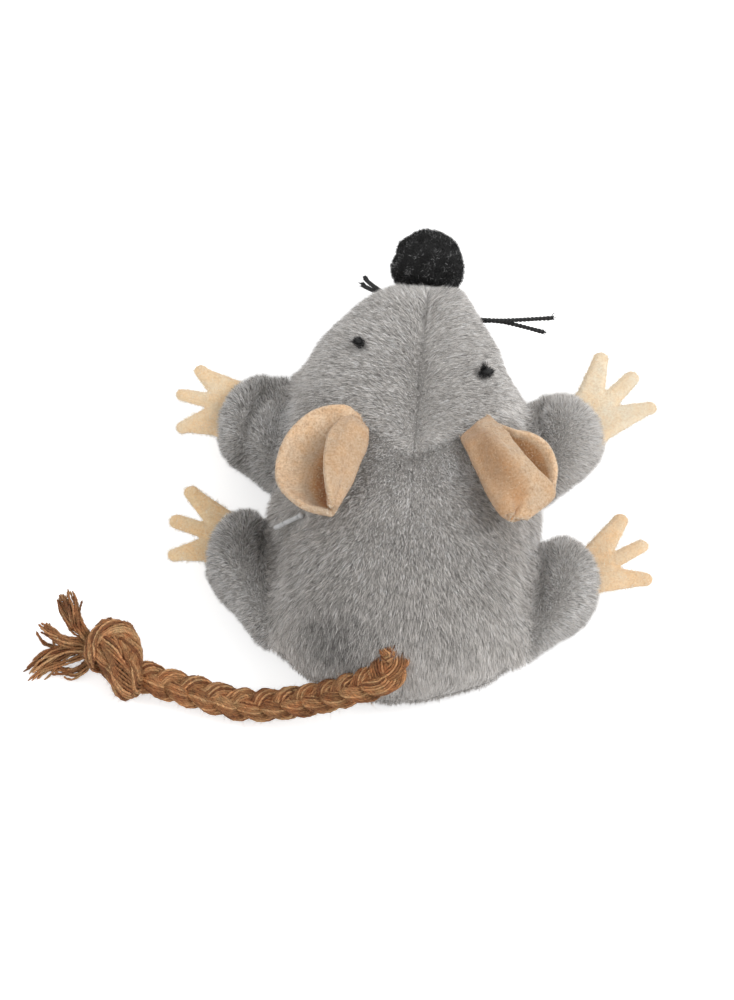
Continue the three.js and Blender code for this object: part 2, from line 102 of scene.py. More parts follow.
AZIMUTH, ELEVATION = math.radians(3.4), math.radians(60)
DISTANCE, PICTURE_HEIGHT = 2.5, 0.2703  # metres
ROWS, MIDDLE_X, MIDDLE_Y = 1000, 367, 500  # the picture's rows and its middle, in pixels
PIXEL = PICTURE_HEIGHT / MM / ROWS
RIGHT = np.array([math.cos(AZIMUTH), math.sin(AZIMUTH), 0])
TOWARDS = np.array([
    math.sin(AZIMUTH) * math.cos(ELEVATION), -math.cos(AZIMUTH) * math.cos(ELEVATION), math.sin(ELEVATION)])
ABOVE = np.cross(TOWARDS, RIGHT)
AIM = RIGHT * -0.011594 + ABOVE * -0.001714  # what the picture's middle shows, in metres
SENSOR = 36  # the camera's width in millimetres
PLACE = AIM + TOWARDS * DISTANCE
EYE = PLACE / MM - SHIFT

camera = linked("camera", bpy.data.cameras.new("camera"))
bpy.context.scene.camera = camera
camera.data.lens = SENSOR * DISTANCE / PICTURE_HEIGHT
camera.matrix_world = Matrix([
    [RIGHT[i], ABOVE[i], TOWARDS[i], PLACE[i]] for i in range(3)] + [[0, 0, 0, 1]])


def seen(px, py, base, normal=UP):
    """The point of a plane, in the part's place, that lies at a pixel of the 734 by 1000 picture."""
    way = RIGHT * (px - MIDDLE_X) * PIXEL + ABOVE * (MIDDLE_Y - py) * PIXEL - TOWARDS * DISTANCE / MM
    return EYE + way * (((base - EYE) * normal).sum() / (way * normal).sum())


def seen_line(rows):
    """Points at picture places and heights over the floor."""
    return np.array([seen(px, py, z * UP) for px, py, z in rows])


def pixel(points):
    """Where points in the part's place lie in the 734 by 1000 picture."""
    p = points - EYE
    shrink = ROWS / PICTURE_HEIGHT * DISTANCE / -(p @ TOWARDS)
    return np.stack([MIDDLE_X + p @ RIGHT * shrink, MIDDLE_Y - p @ ABOVE * shrink], -1)


# Meshes and materials

def make(name, points, faces, material, uv=None, smooth=True, uv_name="OFBake"):
    """A mesh object from points in millimetres and a list of arrays of faces."""
    mesh = bpy.data.meshes.new(name)
    faces = [np.asarray(f) for f in faces if len(f)]
    loops = np.concatenate([f.ravel() for f in faces])
    totals = np.concatenate([np.full(len(f), f.shape[1]) for f in faces])
    mesh.vertices.add(len(points))
    mesh.vertices.foreach_set("co", metres(points).astype(np.float32).ravel())
    mesh.loops.add(len(loops))
    mesh.loops.foreach_set("vertex_index", loops.astype(np.int32))
    mesh.polygons.add(len(totals))
    mesh.polygons.foreach_set("loop_start", np.r_[0, np.cumsum(totals)[:-1]].astype(np.int32))
    mesh.polygons.foreach_set("use_smooth", np.full(len(totals), smooth))
    if uv is not None:
        layer = mesh.uv_layers.new(name=uv_name)
        layer.data.foreach_set("uv", uv[loops].astype(np.float32).ravel())
    mesh.update(calc_edges=True)
    mesh.materials.append(material)
    return linked(name, mesh)


def remeshed(points, faces, voxel):
    """The points and quads of one mesh round everything that the closed faces hold."""
    obj = make("rough", points, faces, grey_skin)
    modifier = obj.modifiers.new("remesh", "REMESH")
    modifier.mode = "VOXEL"
    modifier.voxel_size = voxel * MM
    mesh = bpy.data.meshes.new_from_object(obj.evaluated_get(bpy.context.evaluated_depsgraph_get()))
    points, corners = np.empty(3 * len(mesh.vertices)), np.empty(len(mesh.loops), int)
    mesh.vertices.foreach_get("co", points)
    mesh.loops.foreach_get("vertex_index", corners)
    bpy.data.meshes.remove(mesh)
    bpy.data.objects.remove(obj)
    return points.reshape(-1, 3) / MM - SHIFT, corners.reshape(-1, 4)


def edges_of(quads):
    return np.concatenate([quads[:, [i, (i + 1) % 4]] for i in range(4)])


def smoothed(points, quads, rounds):
    """Points drawn halfway to the middle of their neighbours, some rounds long."""
    edges = edges_of(quads)
    start, end = np.concatenate([edges, edges[:, ::-1]]).T
    counts = np.bincount(start, minlength=len(points))[:, None]
    for _ in range(rounds):
        sums = np.stack([np.bincount(start, v[end], len(points)) for v in points.T], 1)
        points = points + 0.5 * (sums / counts - points)
    return points


def normals_of(points, quads):
    across = np.cross(points[quads[:, 2]] - points[quads[:, 0]], points[quads[:, 3]] - points[quads[:, 1]])
    total = np.zeros_like(points)
    for k in range(4):
        np.add.at(total, quads[:, k], across)
    return unit(total)


def angles(sides):
    return np.arange(sides) * TURN / sides


def band(starts, sides):
    """Quads from each ring of points to the next, by the number that each ring starts with."""
    k = np.arange(sides)
    a, b = starts[..., None] + k, starts[..., None] + (k + 1) % sides
    return np.stack([a, b, b + sides, a + sides], -1).reshape(-1, 4)


def sheet_of(quads):
    """The points that an open sheet uses, its quads in their numbers, and its open edges."""
    used, quads = np.unique(quads, return_inverse=True)
    quads, n = quads.reshape(-1, 4), len(used)
    edges = edges_of(quads)
    return used, quads, edges[~np.isin(edges[:, 0] * n + edges[:, 1], edges[:, 1] * n + edges[:, 0])]


def walled(rim, n):
    """Quads from open edges to the same edges of a second layer."""
    return np.column_stack([rim, rim[:, ::-1] + n])


def shell(points, quads, normals, thickness):
    """A closed skin of that thickness under an open sheet of quads."""
    used, quads, rim = sheet_of(quads)
    n = len(used)
    both = np.concatenate([points[used], points[used] - thickness * normals[used]])
    return both, [np.concatenate([quads, quads[:, ::-1] + n, walled(rim[:, ::-1], n)])]


def stuffed(points, quads):
    """A closed body inside an open sheet of quads, each of whose openings is closed by a fan."""
    used, quads, rim = sheet_of(quads)
    points, n = points[used], len(used)
    label = np.arange(n)
    while True:
        low, before = label[rim].min(1), label.copy()
        np.minimum.at(label, rim[:, 0], low)
        np.minimum.at(label, rim[:, 1], low)
        if (label == before).all():
            break
    centres, fans = [], []
    for loop in np.unique(label[rim[:, 0]]):
        mine = rim[label[rim[:, 0]] == loop]
        fans.append(np.column_stack([mine[:, ::-1], np.full(len(mine), n + len(centres))]))
        centres.append(points[mine[:, 0]].mean(0))
    return np.concatenate([points, centres]), [quads, np.concatenate(fans)]


def add_node(tree, kind, inputs=(), **settings):
    node = tree.nodes.new("ShaderNode" + kind)
    for key, value in settings.items():
        setattr(node, key, value)
    feed(tree, node, inputs)
    return node


def feed(tree, node, inputs):
    """Sets a node's inputs to values, or links them to other nodes' outputs."""
    for key, value in dict(inputs).items():
        if isinstance(value, bpy.types.NodeSocket):
            tree.links.new(value, node.inputs[key])
        else:
            node.inputs[key].default_value = value


class Look:
    """A material and short calls for its nodes."""

    def __init__(self, name, colour=(0.5, 0.5, 0.5), roughness=0.9):
        self.material = bpy.data.materials.new(name)
        self.material.use_nodes = True
        self.tree = self.material.node_tree
        self.shader = self.tree.nodes["Principled BSDF"]
        self.set({"Base Color": (*colour, 1), "Roughness": roughness})

    def set(self, inputs):
        feed(self.tree, self.shader, inputs)

    def node(self, kind, inputs=(), **settings):
        return add_node(self.tree, kind, inputs, **settings)

    def ramp(self, factor, *stops):
        node = self.node("ValToRGB", {"Fac": factor})
        while len(node.color_ramp.elements) < len(stops):
            node.color_ramp.elements.new(0.5)
        for element, (at, colour) in zip(node.color_ramp.elements, stops):
            element.position = at
            element.color = (*colour, 1)
        return node.outputs["Color"]

    def noise(self, scale, detail=3.0, vector=None, roughness=0.5):
        vector = vector or self.node("TexCoord").outputs["Object"]
        inputs = {"Scale": scale, "Detail": detail, "Roughness": roughness, "Vector": vector}
        return self.node("TexNoise", inputs).outputs["Fac"]

    def times(self, a, *others):
        for b in others:
            a = self.node(
                "Mix", {"Factor": 1, "A": a, "B": b}, data_type="RGBA", blend_type="MULTIPLY").outputs["Result"]
        return a

    def bump(self, height, strength, millimetres):
        node = self.node("Bump", {"Height": height, "Strength": strength, "Distance": millimetres * MM})
        self.set({"Normal": node.outputs["Normal"]})

    def map(self, name="OFBake"):
        """The two coordinates of a map."""
        return self.node("SeparateXYZ", {"Vector": self.node("UVMap", uv_map=name).outputs["UV"]}).outputs


def grey(level, warmth=0.0):
    return (level * (1 + warmth), level, level * (1 - warmth))


def strand_look(name, shades, tips, roughness=0.55, sheen=0.0, gloss=0.35):
    """Strands coloured by their own shade across the map and from root to tip up it, where a darker root is painted
    shade down among the strands.
    """
    look = Look(name, roughness=roughness)
    at = look.map()
    look.set({
        "Base Color": look.times(look.ramp(at["X"], *shades), look.ramp(at["Y"], *tips)),
        "Specular IOR Level": gloss, "Sheen Weight": sheen})
    return look.material


def cloth_look(name, colour, dark, scale, roughness=0.95):
    look = Look(name, roughness=roughness)
    fine = look.noise(scale, 4, roughness=0.7)
    look.set({"Base Color": look.ramp(fine, (0.3, dark), (0.7, colour))})
    look.bump(fine, 0.5, 0.3)
    return look.material


PLUSH_SHADES = ((0, grey(0.16, 0.06)), (0.5, grey(0.78, 0.05)), (0.85, grey(0.96, 0.03)), (1, grey(1.0, 0.0)))
# darker towards each strand's root: painted shade down among the strands
PLUSH_ROOT_SHADE = ((0, grey(0.6)), (0.5, grey(0.92)), (1, grey(1.0)))
# the backing's grey is kept darker than the pile: painted shade deep among the roots
grey_skin = cloth_look("plush_backing", grey(0.42, 0.04), grey(0.3, 0.04), 900)
grey_fur = strand_look("plush_pile", PLUSH_SHADES, PLUSH_ROOT_SHADE, roughness=0.38, sheen=0.2, gloss=0.6)
black_skin = cloth_look("black_plush_backing", grey(0.012), grey(0.006), 900)
# black pile: its lightest strands are partly light hairs, partly painted glints
black_fur = strand_look(
    "black_plush_pile", ((0, grey(0.005)), (0.5, grey(0.014)), (0.8, grey(0.045)), (1, grey(0.42))),
    ((0, grey(0.6)), (1, grey(1))))
thread_look = cloth_look("black_thread", grey(0.04), grey(0.006), 2500, 0.75)
wadding_look = cloth_look("wadding", grey(0.86, 0.01), grey(0.7, 0.01), 300)


# Body form

BODY_ROWS = np.array([
    [0, 0.24, 0.5, 0.66, 0, 0],
    [0.018, 0.5, 0.62, 0.32, 0, 0],
    [0.045, 0.72, 0.72, 0.1, 0, 0],
    [0.083, 0.87, 0.81, 0, 0, 0],
    [0.145, 0.955, 0.905, 0, 0, 0],
    [0.235, 0.99, 0.975, 0, 0, 0],
    [0.335, 1, 1, 0, 0, 0],
    [0.44, 0.98, 0.985, 0, 0, -0.05],
    [0.545, 0.975, 0.94, 0, 0, -0.25],
    [0.65, 0.93, 0.885, 0, 0, -0.6],
    [0.74, 0.82, 0.82, 0.02, 0.1, -0.95],
    [0.815, 0.69, 0.755, 0.12, 0.3, -0.85],
    [0.875, 0.55, 0.7, 0.28, 0.55, -0.4],
    [0.925, 0.42, 0.645, 0.44, 0.8, 0.1],
    [0.965, 0.32, 0.59, 0.6, 0.95, 0.45],
    [1, 0.24, 0.52, 0.8, 1, 0.55],
])
RUMP_Y, BODY_LENGTH, HALF_WIDTH, HEIGHT = -72.0, 129.0, 35.0, 52.0
SEAM_Z, SEAM_X, UPPER, LOWER = 14.0, 2.0, 0.92, 0.66
NECK_APEX, NECK_REACH, NECK_RUN, NECK_BEND = -18.2, 45.0, 55.0, 0.27


def along_body(share):
    return RUMP_Y + BODY_LENGTH * share


def through(rows, share):
    """A smooth curve through rows of shares, with each row's slope set by its neighbours."""
    at, values = rows[:, 0], rows[:, 1:]
    slopes = np.gradient(values, at, axis=0)
    i = np.clip(np.searchsorted(at, share, side="right") - 1, 0, len(at) - 2)
    span = at[i + 1] - at[i]
    t = ((share - at[i]) / span)[..., None]
    a, b, span = values[i], values[i + 1], span[..., None]
    return (
        (2 * t**3 - 3 * t**2 + 1) * a + (t**3 - 2 * t**2 + t) * span * slopes[i]
        + (3 * t**2 - 2 * t**3) * b + (t**3 - t**2) * span * slopes[i + 1])


def section(y):
    """Middle, half width, top, seam height and bottom of the body at y."""
    width, top, bottom, rise, lean = np.moveaxis(
        through(BODY_ROWS, np.clip((np.asarray(y, float) - RUMP_Y) / BODY_LENGTH, 0, 1)), -1, 0)
    seam = SEAM_Z + 4.0 * rise
    return 2.4 * lean, HALF_WIDTH * width, HEIGHT * top, seam, -0.5 + (seam + 0.5) * bottom


def over(x, y):
    """The point on the body's upper surface over a place."""
    middle, half, top, seam, _ = section(y)
    across = np.minimum(1, np.abs(x - middle) / half)
    z = seam + (top - seam) * (1 - across ** (2 / UPPER)) ** (UPPER / 2)
    return np.stack(np.broadcast_arrays(x, y, z), -1).astype(float)


def over_normal(x, y):
    here = over(x, y)
    return unit(np.cross(over(x + 0.05, y) - here, over(x, y + 0.05) - here))


def outside(p):
    """How far a point lies out of the body's section, as a share: below 0 is inside."""
    middle, half, top, seam, bottom = section(p[:, 1])
    up = p[:, 2] >= seam
    power = np.where(up, 2 / UPPER, 2 / LOWER)
    span = np.where(up, top - seam, seam - bottom)
    return (np.abs(p[:, 0] - middle) / half) ** power + (np.abs(p[:, 2] - seam) / span) ** power - 1


def on_body(px, py):
    """The point of the body's upper surface that lies at a pixel."""
    z = 30.0
    for _ in range(60):
        x, y, _ = seen(px, py, z * UP)
        z += 0.4 * (float(over(x, y)[2]) - z)
    return seen(px, py, z * UP)


def neck_y(x):
    """Where the V of the neck seam runs."""
    t = np.minimum(np.abs(x - SEAM_X) / NECK_REACH, 1)
    bend = NECK_APEX + NECK_BEND * NECK_RUN
    return (1 - t) ** 2 * NECK_APEX + 2 * t * (1 - t) * bend + t**2 * (NECK_APEX + NECK_RUN)


def rings(sections, sides):
    """A closed loft along Y through sections of middle, half width, top, seam, bottom and y."""
    across, up = np.cos(angles(sides)), np.sin(angles(sides))
    power = np.where(up >= 0, UPPER, LOWER)
    parts = []
    for middle, half, top, seam, bottom, y in sections:
        span = np.where(up >= 0, top - seam, seam - bottom)
        parts.append(np.stack([
            middle + half * np.sign(across) * np.abs(across) ** power,
            np.full(sides, y),
            seam + span * np.sign(up) * np.abs(up) ** power], 1))
    k, last = np.arange(sides), (len(parts) - 1) * sides
    quads = band(np.arange(0, last, sides), sides)[:, [0, 3, 2, 1]]
    return np.concatenate(parts), [quads, k[None], (last + k[::-1])[None]]


# Legs, each from its hinge outwards: reach share, half width, forward middle and half height

LEG_SIZES = {"front": (18.5, 15.6, 11.5), "rear": (18.0, 19.2, 12.0)}
LEG_ROWS = {
    "front": np.array([
        [-0.5, 0.9, -0.2, 0.55], [0, 0.97, -0.15, 0.72], [0.18, 0.98, -0.05, 0.84], [0.36, 0.94, 0.04, 0.95],
        [0.56, 0.86, 0.11, 1], [0.76, 0.7, 0.16, 0.9], [0.92, 0.44, 0.19, 0.6], [1, 0.2, 0.2, 0.3]]),
    "rear": np.array([
        [-0.5, 0.9, -0.1, 0.55], [0, 0.97, -0.02, 0.72], [0.18, 0.97, 0.08, 0.84], [0.36, 0.94, 0.18, 0.95],
        [0.56, 0.85, 0.28, 1], [0.76, 0.66, 0.34, 0.9], [0.92, 0.4, 0.37, 0.6], [1, 0.18, 0.38, 0.3]]),
}
FOLD = [(269, 391), (257, 404), (250, 417), (246, 430), (243.5, 450), (244, 462)]  # in the front left leg, pixels
# the fold's width in pixels, its depth in millimetres, and the painted shade that darkens the pile along it
FOLD_WIDTH, FOLD_DEPTH, FOLD_PAINTED_SHADE = 8, 1.5, 0.42
LEGS = {  # where the hinge lies along the body, the reach and depth of the crease beside it, and where it ends
    "front_left": (0.598, 6.5, 0.4, -1.5),
    "front_right": (0.605, 2.0, 1.6, -1.5),
    "rear_left": (0.24, 2.0, 2.4, 0.05),
    "rear_right": (0.22, 2.5, 1.2, -0.5),
}


class Leg:
    """A leg's place on the body: its hinge, and its own axes with Y outwards."""

    def __init__(self, name):
        self.name, kind = name, name.split("_")[0]
        self.side = 1 if name.endswith("right") else -1
        along, self.crease, self.depth, self.fade = LEGS[name]
        self.reach, self.half, self.height = LEG_SIZES[kind]
        self.rows = LEG_ROWS[kind]
        y = along_body(along)
        self.hinge = self.side_point(y)
        slope = self.side_point(y + 0.05) - self.hinge
        self.turn = spin(-math.atan2(slope[0], slope[1]) - self.side * math.pi / 2, 0, 1)
        self.out = self.turn @ np.array([0, 1.0, 0])

    def side_point(self, y):
        middle, half, _, seam, _ = section(y)
        return np.array([middle + self.side * half, y, seam])

    def placed(self, points):
        return points @ self.turn.T + self.hinge

    def local(self, points):
        return (points - self.hinge) @ self.turn

    def form(self):
        shares = np.linspace(-0.5, 1, 22)
        points, faces = rings([
            (-self.side * self.half * f, self.half * w, self.height * h, 0, -self.height * h, self.reach * s)
            for s, (w, f, h) in zip(shares, through(self.rows, shares))], 32)
        return self.placed(points), faces


legs = [Leg(name) for name in LEGS]


def joined(parts):
    points, faces, offset = [], [], 0
    for p, f in parts:
        points.append(p)
        faces += [np.asarray(x) + offset for x in f]
        offset += len(p)
    return np.concatenate(points), faces


def waves(p, size, seed):
    """Smooth noise from -1 to 1 with features of about that size in millimetres."""
    r = np.random.default_rng(seed)
    total = np.zeros(len(p))
    for _ in range(7):
        d = unit(r.normal(size=3)) * TURN / (size * r.uniform(1.3, 2.8))
        total += np.sin(p @ d + r.uniform(0, 6.3))
    return total / 3.2


def near(distance, width):
    return np.exp(-(distance / width) ** 2)


def folded(points):
    """How near points of the plush are to the fold in the front left leg, from 0 to 1."""
    at = pixel(points)
    course = line([(*place, 0) for place in FOLD], 2)[:, :2]
    return near(np.min([norm(at - c) for c in course], axis=0), FOLD_WIDTH) * (points[:, 2] > 6)


NUDGES = [  # places on the plush, how far round them and how far out it is pushed
    ((-36.2, 16.5, 16.4), 8, 3.2), ((-25.2, 28.8, 23.2), 10, 0.8), ((-32.7, -19, 17.6), 7, 2.2),
    ((-44.2, -3.9, 8), 7, -2), ((-45.4, -47.3, 7.8), 9, -1.6), ((-29.7, -58.7, 9.7), 9, 1.4),
    ((-3.7, -68.2, 5.6), 10, 0.8), ((16.7, -67.2, 6.7), 9, -1.5), ((42, -53.2, 7.4), 10, -2.6),
    ((48.7, 10.8, 13.8), 7, 1.2), ((40.9, -3.5, 8.5), 7, -1.2), ((19.7, 31.8, 22.8), 10, 0.9),
    ((-8.8, 49.2, 24.1), 5, -1.2), ((31, -20, 17), 6, 1.6),
] + [(seen(px, py, z * UP), reach, out) for px, py, z, reach, out in (
    (263, 384, 15, 5, 1.6), (288, 381, 16, 6, 2.6), (520, 402, 15, 8, 2.4), (540, 513, 14, 9, 2.6),
    (260, 520, 20, 7, 3), (551, 547, 19, 6, 2), (238, 628, 7, 12, -1.8), (551, 655, 7, 12, -1.8),
    (300, 677, 6, 7, -1), (584, 450, 10, 8, 1.2))]

SNOUT_END = 54.2  # how far up the picture the snout's top reaches; the nose shows beyond it


def rounded(excess, radius):
    return radius * np.logaddexp(0, excess / radius)


PLUSH_INSET, SKIN = 1.7, 1.2  # how far the backing lies under the pile's tips, and its thickness
EASE = 0.4  # how far the stuffed form keeps within the body's section
PLUSH_VOXEL, FELT_VOXEL = 1.1, 0.36  # the cells of the remeshed plush and felt
SEAM_WIDTH, LEG_CREASE_WIDTH = 1.7, 2.4
SNOUT_UP, SNOUT_OUT, SNOUT_DOWN = 0.866, 0.5, 1.1  # the slopes of the snout's two cut planes


def plush_form():
    """The stuffed body and its legs as one sheet, with its seams, creases and folds."""
    share = np.linspace(0, 1, 70)
    y = RUMP_Y + EASE + (BODY_LENGTH - 2 * EASE) * (share - 0.6 * np.sin(TURN * share) / TURN)
    middle, half, top, seam, bottom = section(y)
    body = rings(list(zip(middle, half - EASE, top - EASE, seam, bottom + EASE, y)), 80)
    points, quads = remeshed(*joined([body] + [leg.form() for leg in legs]), PLUSH_VOXEL)
    points = smoothed(points, quads, 9)
    normals = normals_of(points, quads)
    x, y, z = points.T
    upper = np.clip((z - SEAM_Z) / 6, 0, 1)
    groove = 1.3 * near(x - SEAM_X, SEAM_WIDTH) * upper * (y > neck_y(x)) * np.clip((52 - y) / 10, 0.2, 1)
    groove += 1.0 * near(0.8 * (y - neck_y(x)), SEAM_WIDTH) * upper
    groove += 0.6 * near(z - section(y)[3], 1.5) * (outside(points) < 0.15)
    for leg in legs:
        q = leg.local(points)
        on = (q[:, 1] > -4) & (np.abs(q[:, 0]) < 1.1 * leg.half) & (q[:, 2] > -4)
        ends = np.clip((-leg.side * q[:, 0] / leg.half - leg.fade) / 0.5, 0, 1)
        groove += leg.depth * near(q[:, 1] - leg.crease, LEG_CREASE_WIDTH) * on * ends
    groove += FOLD_DEPTH * folded(points)
    push = 0.35 * waves(points, 9, 3) - groove - PLUSH_INSET
    for place, reach, out in NUDGES:
        push += out * near(norm(points - place), reach)
    points = points + normals * push[:, None]
    points[:, 1] -= rounded(SNOUT_UP * points[:, 1] + SNOUT_OUT * points[:, 2] - SNOUT_END, 0.8) / SNOUT_UP
    points[:, 2] -= rounded(points[:, 2] - 22.5 - SNOUT_DOWN * (50 - points[:, 1]), 1.0)
    points[:, 2] = np.maximum(points[:, 2], 0.9)
    points = smoothed(points, quads, 2)
    return points, quads, normals_of(points, quads)


def comb(p, n, region, leg):
    """Which way the pile is brushed at points of a region."""
    x, y, one = p[:, 0] - SEAM_X, p[:, 1], np.ones(len(p))
    if region == "head":
        ahead = -0.12 - 0.35 * np.clip((30 - y) / 40, 0, 1) + 1.1 * np.clip((y - 45) / 5, 0, 1)
        base = [np.tanh(x / 1.5), ahead, -0.3 * one]
    elif region == "leg":
        base = (leg.out + [0, -0.35, 0])[:, None] * one
    elif region == "belly":
        base = [0.01 * x, -one, 0 * one]
    else:
        base = [0.012 * x + 0.12 * np.sign(x) * np.exp(-np.abs(x) / 2.2), -one, -0.25 * one]
    base = np.stack(base, 1)
    return unit(base - n * (base * n).sum(1, keepdims=True))


def turned(v, axis, angle):
    c, s = np.cos(angle)[:, None], np.sin(angle)[:, None]
    return v * c + np.cross(axis, v) * s + axis * (v * axis).sum(1, keepdims=True) * (1 - c)


def brushed(n):
    """A way along the surface at random for each normal."""
    return unit(np.cross(n, rng.normal(size=n.shape)))


def scatter(points, quads, normals, density):
    """Random places on quads, and the normals there."""
    tris = np.concatenate([quads[:, [0, 1, 2]], quads[:, [0, 2, 3]]])
    a, b, c = (points[tris[:, k]] for k in range(3))
    area = norm(np.cross(b - a, c - a)) / 2
    count = int(area.sum() * density)
    pick = rng.choice(len(tris), count, p=area / area.sum())
    r, s = np.sqrt(rng.random(count))[:, None], rng.random(count)[:, None]
    weights = (1 - r, r * (1 - s), r * s)
    place = sum(w * v[pick] for w, v in zip(weights, (a, b, c)))
    normal = unit(sum(w * normals[tris[pick, k]] for k, w in enumerate(weights)))
    return place, normal


def strands(name, roots, normals, combs, length, width, lifts, shade, material, sink=0.4):
    """Flat tapered strands that leave the surface steeply and bend over the way they are brushed."""
    n = len(roots)
    p = [roots - sink * normals]
    for part, lift in zip((0.45, 0.55), lifts):
        lift = np.radians(lift + rng.normal(0, 9, n))[:, None]
        p.append(p[-1] + (part * length)[:, None] * (np.cos(lift) * combs + np.sin(lift) * normals))
    across = turned(unit(np.cross(normals, combs)), unit(p[2] - p[0]), rng.normal(0, 0.6, n))
    across = across * np.reshape(width / 2, (-1, 1))
    points = np.stack([p[0] - across, p[0] + across, p[1] - 0.9 * across, p[1] + 0.9 * across, p[2]], 1)
    points[..., 2] = np.maximum(points[..., 2], 0.1)
    base = 5 * np.arange(n)[:, None]
    u = np.clip(shade, 0.01, 0.99)[:, None] + 0.006 * np.array([-1, 1, -1, 1, 0])
    uv = np.stack([u, np.tile([0.01, 0.01, 0.45, 0.45, 0.99], (n, 1))], 2)
    return make(
        name, points.reshape(-1, 3), [base + [0, 1, 3, 2], base + [2, 3, 4]], material, uv.reshape(-1, 2), False)


FUR = {  # density per square millimetre, length and the two lifts in degrees
    "torso": (14.5, 2.9, (60, 40)),
    "head": (15, 2.2, (58, 38)),
    "belly": (6, 3.0, (40, 8)),
    "leg": (20, 2.3, (80, 66)),
}
CONTRAST = {"front_left": 1.9, "front_right": 0.75, "rear_left": 1.8, "rear_right": 1.35}
PAINTED_SHADE_PATCHES = [  # picture places and heights, their reach, and how much the pile is painted darker or lighter there: painted shade, as where upright pile is seen end on, and painted light, as over the right ear's shadow
    ((257, 535, 22), 4.5, -0.42), ((262, 550, 24), 9, -0.2), ((552, 562, 22), 5, -0.12), ((243, 440, 17), 5, -0.1),
    ((415, 505, 46), 14, 0.12), ((390, 600, 42), 20, -0.08), ((222, 590, 18), 8, 0.08), ((215, 425, 16), 8, 0.16),
    ((266, 445, 20), 8, 0.42), ((273, 416, 23), 6, 0.36), ((290, 405, 24), 5, 0.32), ((575, 435, 20), 12, 0.26),
    ((550, 408, 22), 6, 0.12), ((530, 430, 22), 6, 0.2), ((458, 470, 44), 7, 0.7), ((503, 502, 36), 4, 0.1),
    ((405, 432, 46), 7, 0.16), ((384, 456, 47), 5, 0.3), ((396, 480, 48), 7, 0.15), ((460, 405, 40), 10, -0.1),
    ((538, 550, 20), 8, 0.34), ((556, 590, 20), 9, 0.22), ((580, 575, 18), 7, 0.2), ((535, 625, 18), 8, 0.18),
    ((258, 585, 22), 8, 0.2), ((325, 652, 28), 11, -0.34), ((350, 622, 36), 14, -0.16), ((460, 645, 34), 16, -0.16),
    ((215, 560, 16), 5, 0.12),
]
BOLD_SHARE, GLINT_SHARE = 0.3, 0.06  # of the pile: strands that are wider, and ones painted much lighter as glints
LYING = []  # points of pieces that lie on the pile


def shorten(long, roots, piece):
    """Keeps the pile's lengths under a piece that lies on it."""
    close = np.flatnonzero(((roots > piece.min(0) - 3) & (roots < piece.max(0) + 3)).all(1))
    tree = KDTree(len(piece))
    for k, at in enumerate(piece):
        tree.insert(at, k)
    tree.balance()
    for k in close:
        long[k] = min(long[k], max(0.3, 0.8 * tree.find(roots[k])[2]))


def add_fur(name, points, quads, normals, region, leg):
    density, length, lifts = FUR[region]
    roots, n = scatter(points, quads, normals, density * (1))
    count = len(roots)
    way = comb(roots, n, region, leg)
    swirl = 0.12 * waves(roots, 9, 11) + 0.03 * waves(roots, 2.2, 12) + rng.normal(0, 0.8 if leg else 0.26, count)
    way = turned(way, n, swirl)
    tuft = waves(roots, 1.8, 13)
    long = length * (1 + 0.12 * tuft + rng.normal(0, 0.13, count))
    bold = rng.random(count) < BOLD_SHARE
    calm = np.clip(np.maximum(-46 - roots[:, 1], np.abs(roots[:, 0]) - 22) / 14, 0, 1)
    strength = CONTRAST[leg.name] if leg else 1 - 0.6 * calm
    shade = 0.53 + 0.03 * tuft + strength * rng.normal(0, np.where(bold, 0.5, 0.28))
    # painted glints and painted shade: a share of strands much lighter, and the pile darker along the fold in the
    # front left leg
    shade += 0.5 * (rng.random(count) < GLINT_SHARE) - FOLD_PAINTED_SHADE * folded(roots)
    # painted shade and painted light in patches over the pile
    for (px, py, z), reach, change in PAINTED_SHADE_PATCHES:
        shade += change * near(norm(roots - seen(px, py, z * UP)), reach)
    for piece in LYING:
        shorten(long, roots, piece)
    wide = np.where(bold, rng.uniform(0.12, 0.19, count), rng.uniform(0.07, 0.1, count)) * 1
    lift = [a + 4 * waves(roots, 3, 14) for a in lifts]
    return strands(name, roots, n, way, long, wide, lift, shade, grey_fur)


def hang(piece, leg):
    """Puts a piece on the body, or, for a leg's piece, bakes its place into its points."""
    if leg:
        metres(leg.hinge - leg.out)
        metres(leg.hinge + 7 * leg.out)
        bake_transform(piece)
    else:
        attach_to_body(piece, "body")


def add_plush():
    points, quads, normals = plush_form()
    centre = points[quads].mean(1)
    x, y, z = centre.T
    out = outside(centre)
    taken = np.zeros(len(quads), bool)
    panels = []
    for leg in legs:
        q = leg.local(centre)
        mine = (q[:, 1] > 0.3) & (np.abs(q[:, 0]) < 1.25 * leg.half) & (out > 0.02) & ~taken
        taken |= mine
        panels.append((f"{leg.name}_leg", mine, "leg", leg))
    head = ~taken & (y > neck_y(x))
    torso = ~taken & ~head
    top, left = z > section(y)[3], x < SEAM_X
    panels += [
        ("torso_back_left", torso & top & left, "torso", None),
        ("torso_back_right", torso & top & ~left, "torso", None),
        ("torso_belly", torso & ~top, "belly", None),
        ("head_left", head & left, "head", None),
        ("head_right", head & ~left, "head", None),
    ]
    for name, mine, region, leg in panels:
        skin = make(f"{name}_plush", *shell(points, quads[mine], normals, SKIN), grey_skin)
        hang(skin, leg)
        hang(add_fur(f"{name}_pile", points, quads[mine], normals, region, leg), leg)
        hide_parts(name)
    insides = [("torso", torso, None), ("head", head, None)] + [(name, mine, leg) for name, mine, _, leg in panels[:4]]
    for name, mine, leg in insides:
        filling = make(f"{name}_wadding", *stuffed(points - 2 * normals, quads[mine]), wadding_look)
        hang(filling, leg)
        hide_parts(f"{name}_filling")


# Ropes and threads

